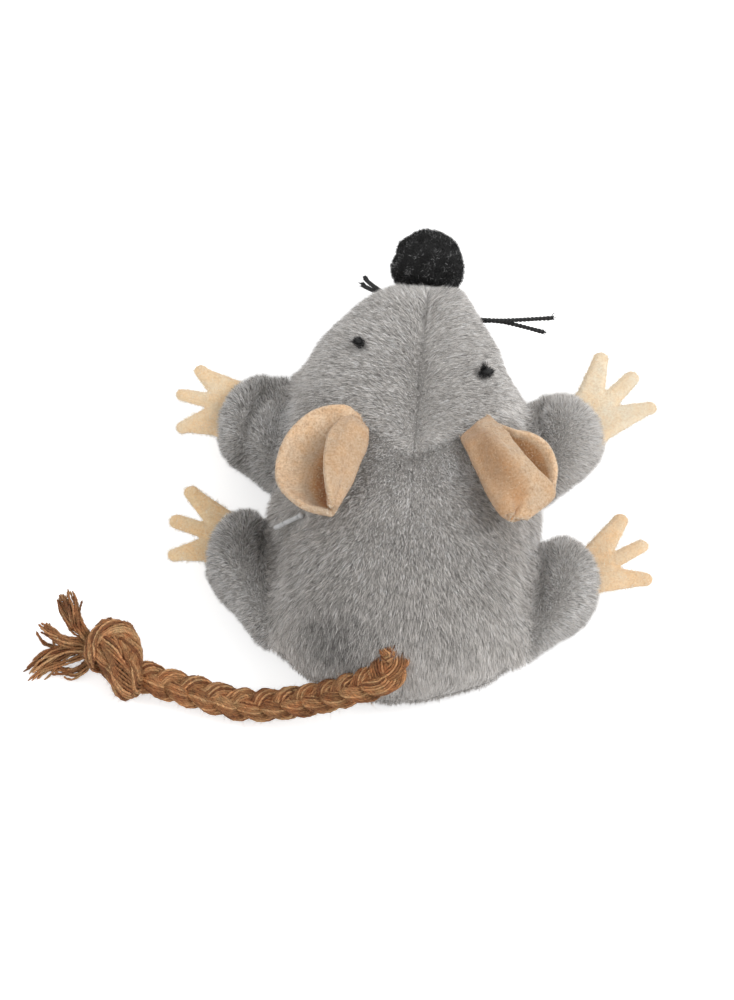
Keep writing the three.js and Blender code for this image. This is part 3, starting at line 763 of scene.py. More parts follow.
def between(a, b, c, d, t):
    """A smooth way from b to c, with a before them and d after."""
    return 0.5 * (2 * b + (c - a) * t + (2 * a - 5 * b + 4 * c - d) * t**2 + (3 * b - a - 3 * c + d) * t**3)


def extended(values):
    v = np.asarray(values, float)
    return np.concatenate([2 * v[:1] - v[1:2], v, 2 * v[-1:] - v[-2:-1]])


def line(points, step):
    """A smooth line through points, in even steps."""
    p = extended(points)
    t = np.linspace(0, 1, 20, endpoint=False)[:, None]
    q = np.vstack([between(*p[i - 1:i + 3], t) for i in range(1, len(p) - 2)] + [p[-2:-1]])
    s = distances(q)
    at = np.linspace(0, s[-1], max(3, int(s[-1] / step) + 1))
    return np.stack([np.interp(at, s, v) for v in q.T], 1)


def spline(values, count):
    """Smooth in-betweens of values along their first axis."""
    v = extended(values)
    at = np.linspace(0, len(v) - 3, count)
    i = np.minimum(at.astype(int), len(v) - 4)
    return between(v[i], v[i + 1], v[i + 2], v[i + 3], (at - i).reshape((-1,) + (1,) * (v.ndim - 1)))


def frames(path):
    """A path's course, and the ways sideways and upwards from it."""
    course = unit(np.gradient(path, axis=0))
    side = unit(np.cross(course, UP))
    return course, side, np.cross(side, course)


def tubes(paths, radius, sides=6, ply=0.16, pitch=3.2, shade=None):
    """Yarns of two plies along paths that all have as many points."""
    paths = np.asarray(paths, float)
    count, steps = paths.shape[:2]
    course = unit(np.gradient(paths, axis=1))
    side = np.empty_like(paths)
    start = np.where(np.abs(course[:, 0, 2:]) > 0.9, [1.0, 0, 0], UP)
    side[:, 0] = unit(np.cross(course[:, 0], start))
    for i in range(1, steps):
        last = side[:, i - 1]
        side[:, i] = unit(last - course[:, i] * (last * course[:, i]).sum(1, keepdims=True))
    lift = np.cross(course, side)
    along, angle = distances(paths), angles(sides)
    phase = TURN * along / pitch + rng.random((count, 1)) * 6.3
    ends = np.minimum(np.arange(steps), np.arange(steps)[::-1])
    r = radius * (1 + ply * np.cos(2 * angle - phase[..., None])) * np.clip(0.35 + 0.4 * ends, 0, 1)[:, None]
    points = paths[:, :, None] + r[..., None] * (
        np.cos(angle)[:, None] * side[:, :, None] + np.sin(angle)[:, None] * lift[:, :, None])
    ring = np.arange(count * steps).reshape(count, steps) * sides
    k = np.arange(sides)
    caps = np.concatenate([ring[:, 0, None] + k[::-1], ring[:, -1, None] + k])
    shade = rng.random(count) if shade is None else shade
    u = np.broadcast_to(0.03 + 0.94 * shade[:, None, None], r.shape) + 0.012 * np.cos(angle - phase[..., None] / 2)
    v = np.broadcast_to(along[..., None] / max(along.max(), 1) * 0.96 + 0.02, r.shape)
    return points.reshape(-1, 3), [band(ring[:, :-1], sides), caps], np.stack([u, v], -1).reshape(-1, 2)


def merged(parts):
    points, faces = joined([(p, f) for p, f, _ in parts])
    by_size = {}
    for f in faces:
        by_size.setdefault(f.shape[1], []).append(f)
    return points, [np.concatenate(f) for f in by_size.values()], np.concatenate([uv for *_, uv in parts])


def jute_look():
    """Plied yarn: streaks along its fibres, each yarn of its own shade, and patches of red and of straw."""
    look = Look("jute", roughness=0.7)
    map_uv = look.node("UVMap", uv_map="OFBake").outputs["UV"]
    streak = look.noise(1.0, 3, look.node("Mapping", {"Vector": map_uv, "Scale": (300, 70, 1)}).outputs["Vector"], 0.7)
    fine, patch = look.noise(2600, 5, roughness=0.75), look.noise(320, 3)
    look.set({"Specular IOR Level": 0.4, "Base Color": look.times(
        look.ramp(look.map()["X"], (0, (0.18, 0.071, 0.026)), (0.5, (0.385, 0.187, 0.08)), (1, (0.67, 0.405, 0.21))),
        look.times(
            look.ramp(streak, (0.34, (0.36, 0.3, 0.27)), (0.5, grey(0.95)), (0.64, (1.6, 1.6, 1.5))),
            look.ramp(patch, (0.34, (1.05, 0.84, 0.72)), (0.66, (0.98, 1.04, 1.02)))),
        look.ramp(fine, (0.3, grey(0.7)), (0.7, grey(1.2))))})
    look.bump(streak, 0.8, 0.25)
    return look.material


jute = jute_look()
jute_fuzz = strand_look(
    "jute_fibre", ((0, (0.3, 0.14, 0.06)), (1, (0.62, 0.36, 0.17))), ((0, grey(0.9)), (1, grey(1.1))))

ROPE = seen_line([
    [391, 645, 33], [392.5, 654, 30], [390, 668, 28.4], [381, 678.5, 26.4], [367, 684.5, 24], [349, 690, 20.7],
    [330, 695.5, 16.3], [309, 700, 12], [289, 703, 8.4], [268.5, 705, 6], [248.4, 705.2, 4.8], [228.1, 701.3, 4.5],
    [207.8, 695.8, 4.5], [187.9, 690.3, 4.5], [167.8, 684.6, 4.6], [147.7, 677.8, 4.9], [137.8, 673.6, 5.3]])
BRAID_PITCH, BRAID_REACH, BRAID_DEPTH = 20.0, 2.5, 1.0
YARN = {"radius": 0.37, "sides": 5, "ply": 0.2, "pitch": 1.8}
JUTE_HAIRS, FELT_HAIRS = 0.9, 4.5  # loose fibres per square millimetre


def at_root(piece):
    """Bakes a piece of the tail's place into its points."""
    metres(ROPE[1])
    metres(ROPE[3])
    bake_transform(piece)


def bundle(centre, side, lift, yarns, width, height, pitch=26.0):
    """Yarns laid round a flattened core, turning about it along its length."""
    s = distances(centre)
    paths = []
    for k in range(yarns):
        angle = TURN * (k / yarns + s / pitch)
        wander = 0.13 * np.sin(s * rng.uniform(0.7, 1.2) + 2.1 * k) + 0.07 * np.sin(s * 2.3 + 1.3 * k)
        paths.append(
            centre + ((width + wander) * np.cos(angle))[:, None] * side
            + ((height + wander) * np.sin(angle))[:, None] * lift)
    return paths


def jute_hair(name, points, faces):
    """Loose fibres that stand off the yarns."""
    quads = faces[0]
    roots, n = scatter(points, quads, normals_of(points, quads), JUTE_HAIRS * (1))
    count = len(roots)
    way = brushed(n)
    return strands(
        name, roots, n, way, rng.gamma(3, 0.45, count), 0.055, (15, 30), rng.random(count), jute_fuzz, sink=0.05)


def jute_piece(name, points, faces, uv, floor, place):
    """A piece of the tail over the floor, with its loose fibres."""
    points[:, 2] = np.maximum(points[:, 2], floor)
    piece = make(f"{name}_yarns", points, faces, jute, uv)
    for part in (piece, jute_hair(f"{name}_fibres", points, faces)):
        place(part)
    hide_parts(name)
    return piece


def on_tail(piece):
    attach(piece, "tail")


def add_tail():
    path = line(ROPE, 0.5)
    _, side, lift = frames(path)
    s = distances(path)
    paths, cores = [], []
    for k in range(3):
        phase = TURN * (s / BRAID_PITCH + k / 3)
        centre = path + (BRAID_REACH * np.clip(0.5 + s / 12, 0, 1) * np.cos(phase))[:, None] * side
        centre = centre + (BRAID_DEPTH * np.sin(2 * phase))[:, None] * lift
        _, own_side, own_lift = frames(centre)
        full = 1 + 0.22 * near(s - 9, 7)[:, None]
        paths += bundle(centre, own_side * full, own_lift * full, yarns=18, width=2.0, height=1.1)
        cores.append(centre)
    # the cores are dark: painted shade in the gaps between the yarns
    points, faces, uv = merged([tubes(paths, **YARN), tubes(cores, 1.25, shade=np.full(3, 0.1))])
    return jute_piece("tail_braid", points, faces, uv, floor=0.15, place=at_root), path


# The knot and the fray beyond it: lines of picture places and heights over the floor

KNOT_EDGE = np.array([  # the knot's outline in the picture
    (85, 646), (89, 634), (98, 623), (114, 617), (128, 621), (140, 634), (143.6, 648), (143.6, 657), (141.6, 666),
    (141.6, 680), (139, 692), (126, 700.4), (116, 696), (108, 688), (100, 676), (90, 664), (85.6, 655)])
KNOT_MIDDLE, KNOT_SLOPE, KNOT_DEPTH = np.array([115.0, 656.0]), -0.352, 7.7
KNOT_AT = seen(*KNOT_MIDDLE, 7.3 * UP)
STRAND_STEP, STRAND_TURN, KNOT_RADIUS, STRAND_SINK = 0.45, 30, 9, 1.4
KNOT_BANDS = [  # yarns, half width, lift, and picture places with their side: 1 before, -1 behind
    (20, 2.6, -0.5, [(88, 650, -1), (100, 645, -1), (115, 652, -1), (130, 657, -1), (141, 660, -1)]),
    (20, 2.6, -0.3, [(112, 620, -1), (110, 640, -1), (114, 665, -1), (120, 685, -1), (124, 697, -1)]),
    (18, 2.3, -0.3, [(94, 640, -1), (91, 645, 1), (96, 655, 1), (103, 667, 1), (111, 679, 1), (119, 689, 1),
                     (124, 696, 1), (121, 686, -1), (112, 670, -1)]),
    (16, 1.9, -0.1, [(128, 625, -1), (127, 637, 1), (131, 650, 1), (134, 663, 1), (135, 677, 1), (135, 690, 1),
                     (132, 694, -1), (126, 680, -1)]),
    (20, 2.4, 0.4, [(104, 625, -1), (106, 632, 1), (111, 645, 1), (116, 659, 1), (121, 673, 1), (126, 687, 1),
                    (128, 697, 1), (124, 690, -1), (116, 672, -1)]),
    (22, 2.7, 0.9, [(114, 678, -1), (101, 668, -1), (88, 655, 1), (91, 641, 1), (100, 630, 1), (113, 626, 1),
                    (126, 630, 1), (134, 641, 1), (138, 654, 1), (138, 667, 1), (139, 680, 1), (132, 688, -1)]),
]


def knot_reach(d):
    """How far the knot's outline is from its middle in directions of the picture."""
    edge = (KNOT_EDGE - KNOT_MIDDLE) * [1, -1]
    at = np.arctan2(edge[:, 1], edge[:, 0])
    return np.interp(np.arctan2(d[:, 1], d[:, 0]), at, norm(edge), period=TURN)


def knot_point(way, lift):
    """The knot's surface in a direction of the picture's own axes, or a lift over it."""
    across, up = (way[:, :2] * knot_reach(way)[:, None] * PIXEL).T
    p = across[:, None] * RIGHT + up[:, None] * ABOVE + (KNOT_SLOPE * up + KNOT_DEPTH * way[:, 2])[:, None] * TOWARDS
    return KNOT_AT + p + unit(p) * np.reshape(lift, (-1, 1))


def blob(half, squareness=2.0, sides=40):
    """A closed rounded form of half sizes, with faces all of four corners but its poles."""
    angle = angles(sides)
    level = np.linspace(-math.pi / 2, math.pi / 2, sides // 2 + 1)[1:-1, None]
    d = np.stack([
        np.cos(level) * np.cos(angle), np.cos(level) * np.sin(angle), np.repeat(np.sin(level), sides, 1)],
        -1).reshape(-1, 3)
    d = np.concatenate([d, [[0, 0, -1], [0, 0, 1]]])
    d = d / (np.abs(d) ** squareness).sum(1, keepdims=True) ** (1 / squareness)
    k, low = np.arange(sides), len(d) - 2
    last, after = low - sides, (k + 1) % sides
    ends = np.concatenate([
        np.stack([after, k, np.full(sides, low)], 1), np.stack([last + k, last + after, np.full(sides, low + 1)], 1)])
    return d * half, [band(np.arange(0, last, sides), sides), ends]


def wound(yarns, half, lift, rows):
    """A strand of yarns that lies over the knot along a line of picture places."""
    rows = np.array(rows, float)
    d = (rows[:, :2] - KNOT_MIDDLE) * [1, -1]
    d = unit(d) * np.minimum(norm(d) / knot_reach(d), 0.995)[:, None]
    way = unit(line(np.column_stack([d, rows[:, 2] * np.sqrt(1 - (d**2).sum(1))]), 0.05))
    side = unit(np.cross(unit(np.gradient(way, axis=0)), way))
    s = np.arange(len(way)) * STRAND_STEP
    paths = []
    for k in range(yarns):
        angle = TURN * (k / yarns + s / STRAND_TURN)
        wander = 0.15 * np.sin(s * rng.uniform(0.6, 1.1) + 2.1 * k)
        off = (half + wander) * np.cos(angle) / KNOT_RADIUS
        rise = lift + 0.75 * np.sin(angle) + wander - STRAND_SINK
        paths.append(knot_point(unit(way + off[:, None] * side), rise))
    return tubes(paths, **YARN)


def add_knot():
    heart, faces = blob(1)
    # a dark heart under the strands: painted shade in the gaps between them
    parts = [(knot_point(heart, -1.9), faces, np.full((len(heart), 2), 0.08))]
    parts += [wound(*strand) for strand in KNOT_BANDS]
    return jute_piece("tail_knot", *merged(parts), floor=0.2, place=on_tail)


FRAY_STEPS = 50
FRAY = [  # how many yarns lie near each line, how far they stray, and the line
    (14, 1.7, [(92, 640, 7), (84, 632, 9), (77, 620, 10.5), (70, 607, 10), (65, 594, 9)]),
    (9, 1.4, [(92, 642, 7), (83, 634, 8), (76, 624, 11), (75, 609, 12), (74, 602, 9)]),
    (9, 1.5, [(92, 640, 7), (82, 634, 8), (70, 625, 9), (62, 610, 8), (60, 601, 7)]),
    (14, 2.2, [(92, 645, 6), (80, 642, 7), (66, 640, 9), (54, 634, 9), (47, 628, 8)]),
    (3, 0.7, [(92, 645, 5), (78, 645, 4), (58, 647, 3), (43, 643, 3), (36, 633, 3.5)]),
    (16, 2.2, [(92, 650, 6), (80, 649, 6), (64, 651, 5), (48, 659, 3.5), (35, 670, 1.6)]),
    (7, 1.8, [(92, 652, 5), (78, 655, 4), (62, 661, 3), (47, 668, 2), (36, 676, 1.2)]),
    (7, 1.6, [(92, 652, 4), (86, 661, 3), (76, 669, 2), (65, 673, 1.3), (54, 672, 1.0)]),
    (5, 1.5, [(92, 654, 4), (90, 664, 3), (82, 671, 2), (72, 675, 1.2), (62, 673, 1.0)]),
    (7, 2.0, [(92, 648, 4), (74, 648, 3), (62, 645, 5), (54, 641, 6), (50, 633, 5)]),
]


def add_fray():
    paths = []
    for yarns, stray, rows in FRAY:
        middle = seen_line(rows)
        share = np.linspace(0.2, 1, len(middle))[:, None]
        for _ in range(yarns):
            away = rng.normal(0, 1, (2, 3)) * stray * [0.6, 0.6, 0.35]
            route = spline(middle + away[0] * share + 0.5 * away[1] * np.sin(5 * share), FRAY_STEPS)
            curl = np.linspace(0, rng.uniform(6, 12), FRAY_STEPS)[:, None]
            route += 0.3 * np.sin(curl + rng.uniform(0, 6.3, 3)) * np.linspace(0.2, 1, FRAY_STEPS)[:, None]
            route[:, 2] = np.maximum(route[:, 2], 0.7)
            paths.append(route)
    return jute_piece(
        "tail_fray", *tubes(paths, 0.32, sides=5, ply=0.22, pitch=1.8), floor=0.12, place=on_tail)


# Felt

# colours of the ears' painted shade and light: a dark warm pocket, then neutral, then a lighter rim
PAINTED_FOLD_SHADE = ((0, (0.4, 0.22, 0.12)), (0.3, (0.74, 0.54, 0.37)), (0.6, grey(1)), (1, (1.3, 1.32, 1.34)))


def felt_look(name, colour, dark, folded=False):
    look = Look(name, roughness=0.95)
    fibre = look.noise(1500, 6, roughness=0.8)
    mean = look.times(
        look.ramp(fibre, (0.36, dark), (0.58, colour)),
        look.ramp(look.noise(70, 3), (0.3, grey(0.9)), (0.7, grey(1.04))),
        look.ramp(look.noise(240, 3), (0.35, (1.03, 0.97, 0.88)), (0.65, (0.98, 1.01, 1.03))))
    if folded:
        # painted shade and painted light across the ear's fold, read from its own map
        mean = look.times(mean, look.ramp(look.map("fold")["X"], *PAINTED_FOLD_SHADE))
    look.set({"Base Color": mean, "Sheen Weight": 0.3, "Sheen Roughness": 0.5, "Specular IOR Level": 0.25})
    look.bump(fibre, 0.7, 0.4)
    return look.material


EAR_BEND, EAR_LIFT, EAR_CLEARANCE = 2.1, 1.6, 0.2
FELT_HALF = 0.9  # half the felt's thickness
EARS = {  # side, along, across, yaw, droop, pitch
    "ear_left": (-1, 0.497, 0.38, 14, 21, 6),
    "ear_right": (1, 0.496, 0.394, 25, 21, 5),
}


def felt_fuzz(name, points, quads, edge, body, material):
    """Short loose fibres over felt, most of them along its cut edge, those at the edge painted lighter as a rim of
    light.
    """
    normals = normals_of(points, quads)
    parts = []
    for mine, times, lifts in ((~edge, 1, (15, 30)), (edge, 9, (40, 30))):
        if mine.any():
            roots, n = scatter(points, quads[mine], normals, FELT_HAIRS * times * (1))
            parts.append((roots, n, np.tile(lifts, (len(roots), 1)), np.full(len(roots), times > 1)))
    roots, n, lifts, painted_rim_light = (np.concatenate(part) for part in zip(*parts))
    count = len(roots)
    # fibres along the cut edge painted lighter: a painted rim of light
    shade = np.where(painted_rim_light, 0.6 + 0.4 * rng.random(count), 0.6 * rng.random(count))
    way = brushed(n)
    fuzz = strands(
        name, roots, n, way, rng.uniform(0.5, 1.6, count), rng.uniform(0.07, 0.13, count), lifts.T, shade,
        material, sink=0.1)
    attach(fuzz, body)


# Each ear from its root to its tip: the picture places of the fold, the flap's free edge and the main
# leaf's rim, the heights of the last two over the leaf, and that of the flap halfway
EAR_ROWS = {
    "ear_left": [
        ((364, 428), (356, 421), (356, 414), 4.4, 3.2, 4.6), ((365, 432), (341, 421), (340, 405), 5.6, 4.6, 5.4),
        ((364, 443), (330, 432), (312, 411), 7.2, 5.0, 6.4), ((358, 458), (325, 448), (288, 433), 8.0, 4.8, 7.0),
        ((352, 473), (323.5, 467), (276.5, 461), 8.2, 4.4, 7.0), ((345, 488), (325, 483), (279, 485), 7.6, 4.2, 6.6),
        ((338, 500), (328, 495), (301, 505), 6.4, 3.6, 5.6), ((333.5, 509), (331.5, 507), (327, 511), 3.4, 2.0, 3.2)],
    "ear_right": [
        ((463, 437), (485, 420), (490, 420), 4.0, 3.0, 4.8), ((469, 447), (506, 433), (513, 429), 6.0, 4.6, 6.6),
        ((475, 460), (518, 449), (534, 434), 8.4, 5.4, 9.4), ((482, 473), (530, 463), (549, 445), 9.0, 5.4, 10.2),
        ((488, 486), (542, 474.5), (557, 464), 7.8, 4.8, 9.6), ((494.5, 498), (553, 486), (556.5, 479), 5.8, 3.2, 8.0),
        ((500, 508), (552, 500), (551, 499.5), 3.2, 1.2, 4.2),
        ((505.5, 515.5), (528, 519.5), (529, 514), 1.7, 0.4, 1.3)],
}
EAR_PAINTED_SHADES = {  # painted shade and painted light across each ear: darker and warmer in the pocket under the flap, lighter towards the rim, and on the right ear's flap darker on the side turned from the lamp; places on the flap's top, then on its underside and the leaf
    "ear_left": (
        ((0, 0.62), (1, 0.55), (9, 0.6)),
        ((0, 0), (6, 0), (7.0, 0.04), (7.25, 0.2), (7.5, 0.46), (7.8, 0.68), (8.2, 0.9), (9, 1))),
    "ear_right": (
        ((0, 0.64), (1.6, 0.6), (2.2, 0.46), (3, 0.38), (4, 0.44), (9, 0.5)),
        ((0, 0), (7.6, 0.02), (8.2, 0.16), (8.6, 0.34), (8.78, 0.8), (9, 1))),
}
EAR_CUTS = (56, 84)  # of each ear from root to tip, and across from the flap's edge over the fold to the rim


def ear_controls(name, root, turn):
    """Rows of points across the ear, in its own place."""
    right = name == "ear_right"
    ridge = 0.45 if right else 0.5

    def local(place, height):
        return (seen(*place, root + turn @ (height * UP), turn @ UP) - root) @ turn

    def seated(place, lift):
        here = on_body(*place)
        return (here + lift * over_normal(*here[:2]) - root) @ turn

    fold, free, rim = EAR_ROWS[name][0][:3]
    e, f, m = seated(fold, -0.2), seated(free, 1.6), seated(rim, -0.6)
    controls = [[
        f, *(e + (ridge + d) * (f - e) + 0.9 * UP for d in (0.16, 0, -0.16)), e + 0.1 * (f - e) + 0.8 * UP, e,
        e + 0.1 * (m - e) - 0.4 * UP, *(e + d * (m - e) - 0.5 * UP for d in (0.4, 0.74)), m]]
    for fold, free, rim, free_height, rim_height, half_height in EAR_ROWS[name][1:]:
        bend = EAR_BEND * np.clip(math.dist(rim, fold) / 33, 0.35, 1)
        e, f, m = local(fold, bend), local(free, free_height), local(rim, rim_height)
        flap, leaf = unit((f - e) * [1, 1, 0]), unit((m - e) * [1, 1, 0])
        tuck = min(1.5, 0.3 * np.linalg.norm((m - e)[:2]))
        before, half, after = (e + (ridge + d) * (f - e) for d in (-0.16, 0, 0.16))
        before[2], half[2], after[2] = half_height - 1.1, half_height, 0.6 * half_height + 0.4 * free_height
        inner, outer = e + 0.4 * (m - e), e + 0.74 * (m - e)
        inner[2], outer[2] = (-1.6 * bend / EAR_BEND, 0.1 * rim_height) if right else (-0.6, 0.36 * rim_height)
        drop = 0.9 * bend * UP
        controls.append([f, after, half, before, e + tuck * flap + drop, e, e + tuck * leaf - drop, inner, outer, m])
    return np.array(controls)


def ear_points(name):
    """An ear's two layers and the edge between them, its painted shade and light, and which quads are the edge."""
    side, along, across, yaw, droop, pitch = EARS[name]
    root = over(np.array(SEAM_X + side * HALF_WIDTH * across), np.array(along_body(along))) + EAR_LIFT * UP
    pitch, droop, yaw = np.radians([-pitch, side * droop, side * yaw])
    turn = spin(yaw, 0, 1) @ spin(pitch, 1, 2) @ spin(droop, 2, 0)
    rows, columns = EAR_CUTS
    grid = spline(spline(ear_controls(name, root, turn), rows + 1).transpose(1, 0, 2), columns + 1).transpose(1, 0, 2)
    down, over_it = np.gradient(grid, axis=0), np.gradient(grid, axis=1)
    normal = unit(np.cross(over_it, down))
    i, j = np.arange(rows + 1)[:, None], np.arange(columns + 1)
    rim_near = np.minimum(np.minimum(i, rows - i) * norm(down), np.minimum(j, columns - j) * norm(over_it))
    thick = FELT_HALF * np.clip(rim_near / 0.6 + 0.3, 0.3, 1) ** 0.5
    flat = grid.reshape(-1, 3)
    grid = grid + (0.14 * waves(flat, 6, 31) + 0.08 * waves(flat, 2.5, 32)).reshape(rows + 1, -1, 1) * normal
    layers = [(grid + sign * thick[..., None] * normal).reshape(-1, 3) for sign in (-1, 1)]
    n = len(flat)
    number = np.arange(n).reshape(rows + 1, columns + 1)
    low = number[:-1, :-1].reshape(-1, 1) + [0, 1, columns + 2, columns + 1]
    edges = [np.stack([v[:-1], v[1:]], 1) for v in (number[:, 0], number[-1], number[:, -1], number[0])]
    rim = np.concatenate([*edges[:2], *(edge[:, ::-1] for edge in edges[2:])])
    shades = [
        np.tile(np.interp(np.linspace(0, 9, columns + 1), *np.array(stops).T), (rows + 1, 1))
        for stops in EAR_PAINTED_SHADES[name]]
    # the painted shade inside fades towards the ear's root and tip
    shades[1] = 0.6 + (shades[1] - 0.6) * np.clip(np.minimum(i + 4, rows + 1 - i) / 12, 0, 1)
    u = np.array(shades[::-side]).ravel()
    quads = np.concatenate([low, low[:, ::-1] + n, walled(rim, n)])
    uv = np.stack([u, np.full(len(u), 0.5)], 1)
    return np.concatenate(layers) @ turn.T + root, quads, uv, np.arange(len(quads)) >= 2 * len(low)


def add_ear(name):
    points, quads, uv, edge = ear_points(name)
    inside = (outside(points - EAR_CLEARANCE * UP) < 0) & (points[:, 2] > 20)
    x, y, _ = points[inside].T
    points[inside] = over(x, y) + EAR_CLEARANCE * over_normal(x, y)
    LYING.append(points)
    ear = make(f"{name}_felt", points, [quads], folded_felt, uv, uv_name="fold")
    attach(ear, name, name)
    felt_fuzz(f"{name}_fibres", points, quads, edge, name, felt_fibre)


PAWS = {  # in the leg's own place: fingertips with their radius, the webs between, and the sides of the palm
    "front_left": (((19.1, 24.2, 1.9), (10.8, 28.3, 1.9), (1.0, 27.2, 1.85)), ((13.7, 22.2), (6.6, 22.7)),
                   ((16.8, 13.2), (-0.6, 19.0))),
    "front_right": (((-25.8, 22.1, 2.08), (-18.3, 29.4, 2.16), (-9.0, 33.1, 2.05)), ((-16.8, 22.1), (-10.5, 26.1)),
                    ((-16.1, 14.5), (-0.4, 20.8))),
    "rear_left": (((29.2, 21.4, 2.16), (20.6, 25.3, 2.16), (9.9, 25.8, 2.03)), ((21.8, 18.2), (14.3, 19.9)),
                  ((23.8, 11.2), (8.2, 18.3))),
    "rear_right": (((-29.9, 21.2, 2.16), (-22.3, 27.5, 2.08), (-12.6, 29.6, 1.95)), ((-21.4, 21.0), (-15.0, 23.4)),
                   ((-18.8, 11.4), (-7.4, 18.1))),
}
PAW_ROOT = 5.0  # how far the felt goes into the leg
PAW_TINTS = {
    "front_left": ((1.0, 0.8, 0.56), (0.84, 0.62, 0.38)), "front_right": ((0.98, 0.86, 0.67), (0.84, 0.66, 0.46)),
    "rear_left": ((1.0, 0.76, 0.48), (0.82, 0.56, 0.3)), "rear_right": ((0.96, 0.73, 0.49), (0.8, 0.55, 0.32))}


def paw_outline(leg):
    tips, webs, sides = (np.array(rows, float) for rows in PAWS[leg.name])
    palm = (webs.mean(0) + sides.mean(0)) / 2
    inward = unit(sides.mean(0) - webs.mean(0)) * PAW_ROOT
    points = [sides[0] + inward, sides[0]]
    for k, (x, y, radius) in enumerate(tips):
        way = unit(np.array([x, y]) - palm)
        heading = math.atan2(way[1], way[0])
        for a in np.radians(np.linspace(-90, 90, 13)) * -leg.side:
            points.append([x + radius * math.cos(heading + a), y + radius * math.sin(heading + a)])
        if k < 2:
            points.append(webs[k] + 1.7 * unit(palm - webs[k]))
    points = np.array(points + [sides[1], sides[1] + inward])
    return points if leg.side < 0 else points[::-1]


def add_paw(leg):
    outline = paw_outline(leg)
    n = len(outline)
    k = np.arange(n)
    low = np.column_stack([outline, np.full(n, -FELT_HALF)])
    walls = walled(np.column_stack([k, (k + 1) % n]), n)
    points, quads = remeshed(
        np.concatenate([low, low + 2 * FELT_HALF * UP]), [walls, k[None, ::-1], k[None] + n], FELT_VOXEL)
    points = smoothed(points, quads, 5)
    edge = np.roll(outline, -1, axis=0) - outline
    off = points[:, None, :2] - outline
    t = np.clip((off * edge).sum(2) / (edge**2).sum(1), 0, 1)
    rim = norm(off - t[..., None] * edge).min(1)
    points[:, 2] *= np.clip(rim / 1.4, 0.1, 1) ** 0.5
    points[:, 2] += (0.5 * np.sin(points[:, 0] / 3.5 + leg.side) + 0.3) * np.clip((points[:, 1] - 14) / 16, 0, 1)
    points = leg.placed(points)
    name = f"{leg.name}_paw"
    paw = make(f"{name}_felt", points, [quads], felt_look(f"felt_{leg.name}", *PAW_TINTS[leg.name]))
    attach(paw, leg.name, name)
    cut = np.abs(normals_of(points, quads)[quads].mean(1)[:, 2]) < 0.55
    felt_fuzz(f"{name}_fibres", points, quads, cut, leg.name, painted_light_fibre)


# Nose, eyes, whiskers and the tag bar

NOSE_HALF = [9.0, 8.2, 7.8]
NOSE_HAIRS, EYE_HAIRS = 16, 22  # strands per square millimetre


def add_nose():
    tip = along_body(1)
    middle, _, _, seam, _ = section(tip)
    points, faces = blob(1, 2.5, 72)
    taper = 1 - 0.2 * points[:, 1:2]
    centre = np.array([middle + 0.2, tip + 2.4, seam + 2.4])
    points = points * NOSE_HALF * np.hstack([taper, np.ones_like(taper), taper]) + centre
    way = unit(points - centre)
    points = points + way * (0.35 * waves(points, 2.2, 21) + 0.15 * waves(points, 6, 22))[:, None]
    nose = make("nose_plush", points, faces, black_skin)
    roots, n = scatter(points, faces[0], normals_of(points, faces[0]), NOSE_HAIRS)
    count = len(roots)
    way = brushed(n)
    # a few strands much lighter: partly light hairs, partly painted glints in the black pile
    pile = strands(
        "nose_pile", roots, n, way, rng.uniform(0.9, 1.9, count), rng.uniform(0.07, 0.16, count), (75, 30),
        np.clip(rng.beta(2, 3, count) + 0.25 * waves(roots, 1.6, 23) + 0.6 * (rng.random(count) < 0.05), 0, 1),
        black_fur)
    attach(nose, "body", "nose")
    attach(pile, "body")


EYES = {  # picture place, half sizes, loose threads and which way they point in the picture
    "eye_left": ((359, 342.5), 1.05, 1.1, 5, 200), "eye_right": ((486.5, 372.5), 2.3, 1.25, 30, 128)}
EYE_HEIGHT, EYE_THREADS = 0.9, 26
RING_HAIRS = 190  # short threads round each eye, beside its loose ones


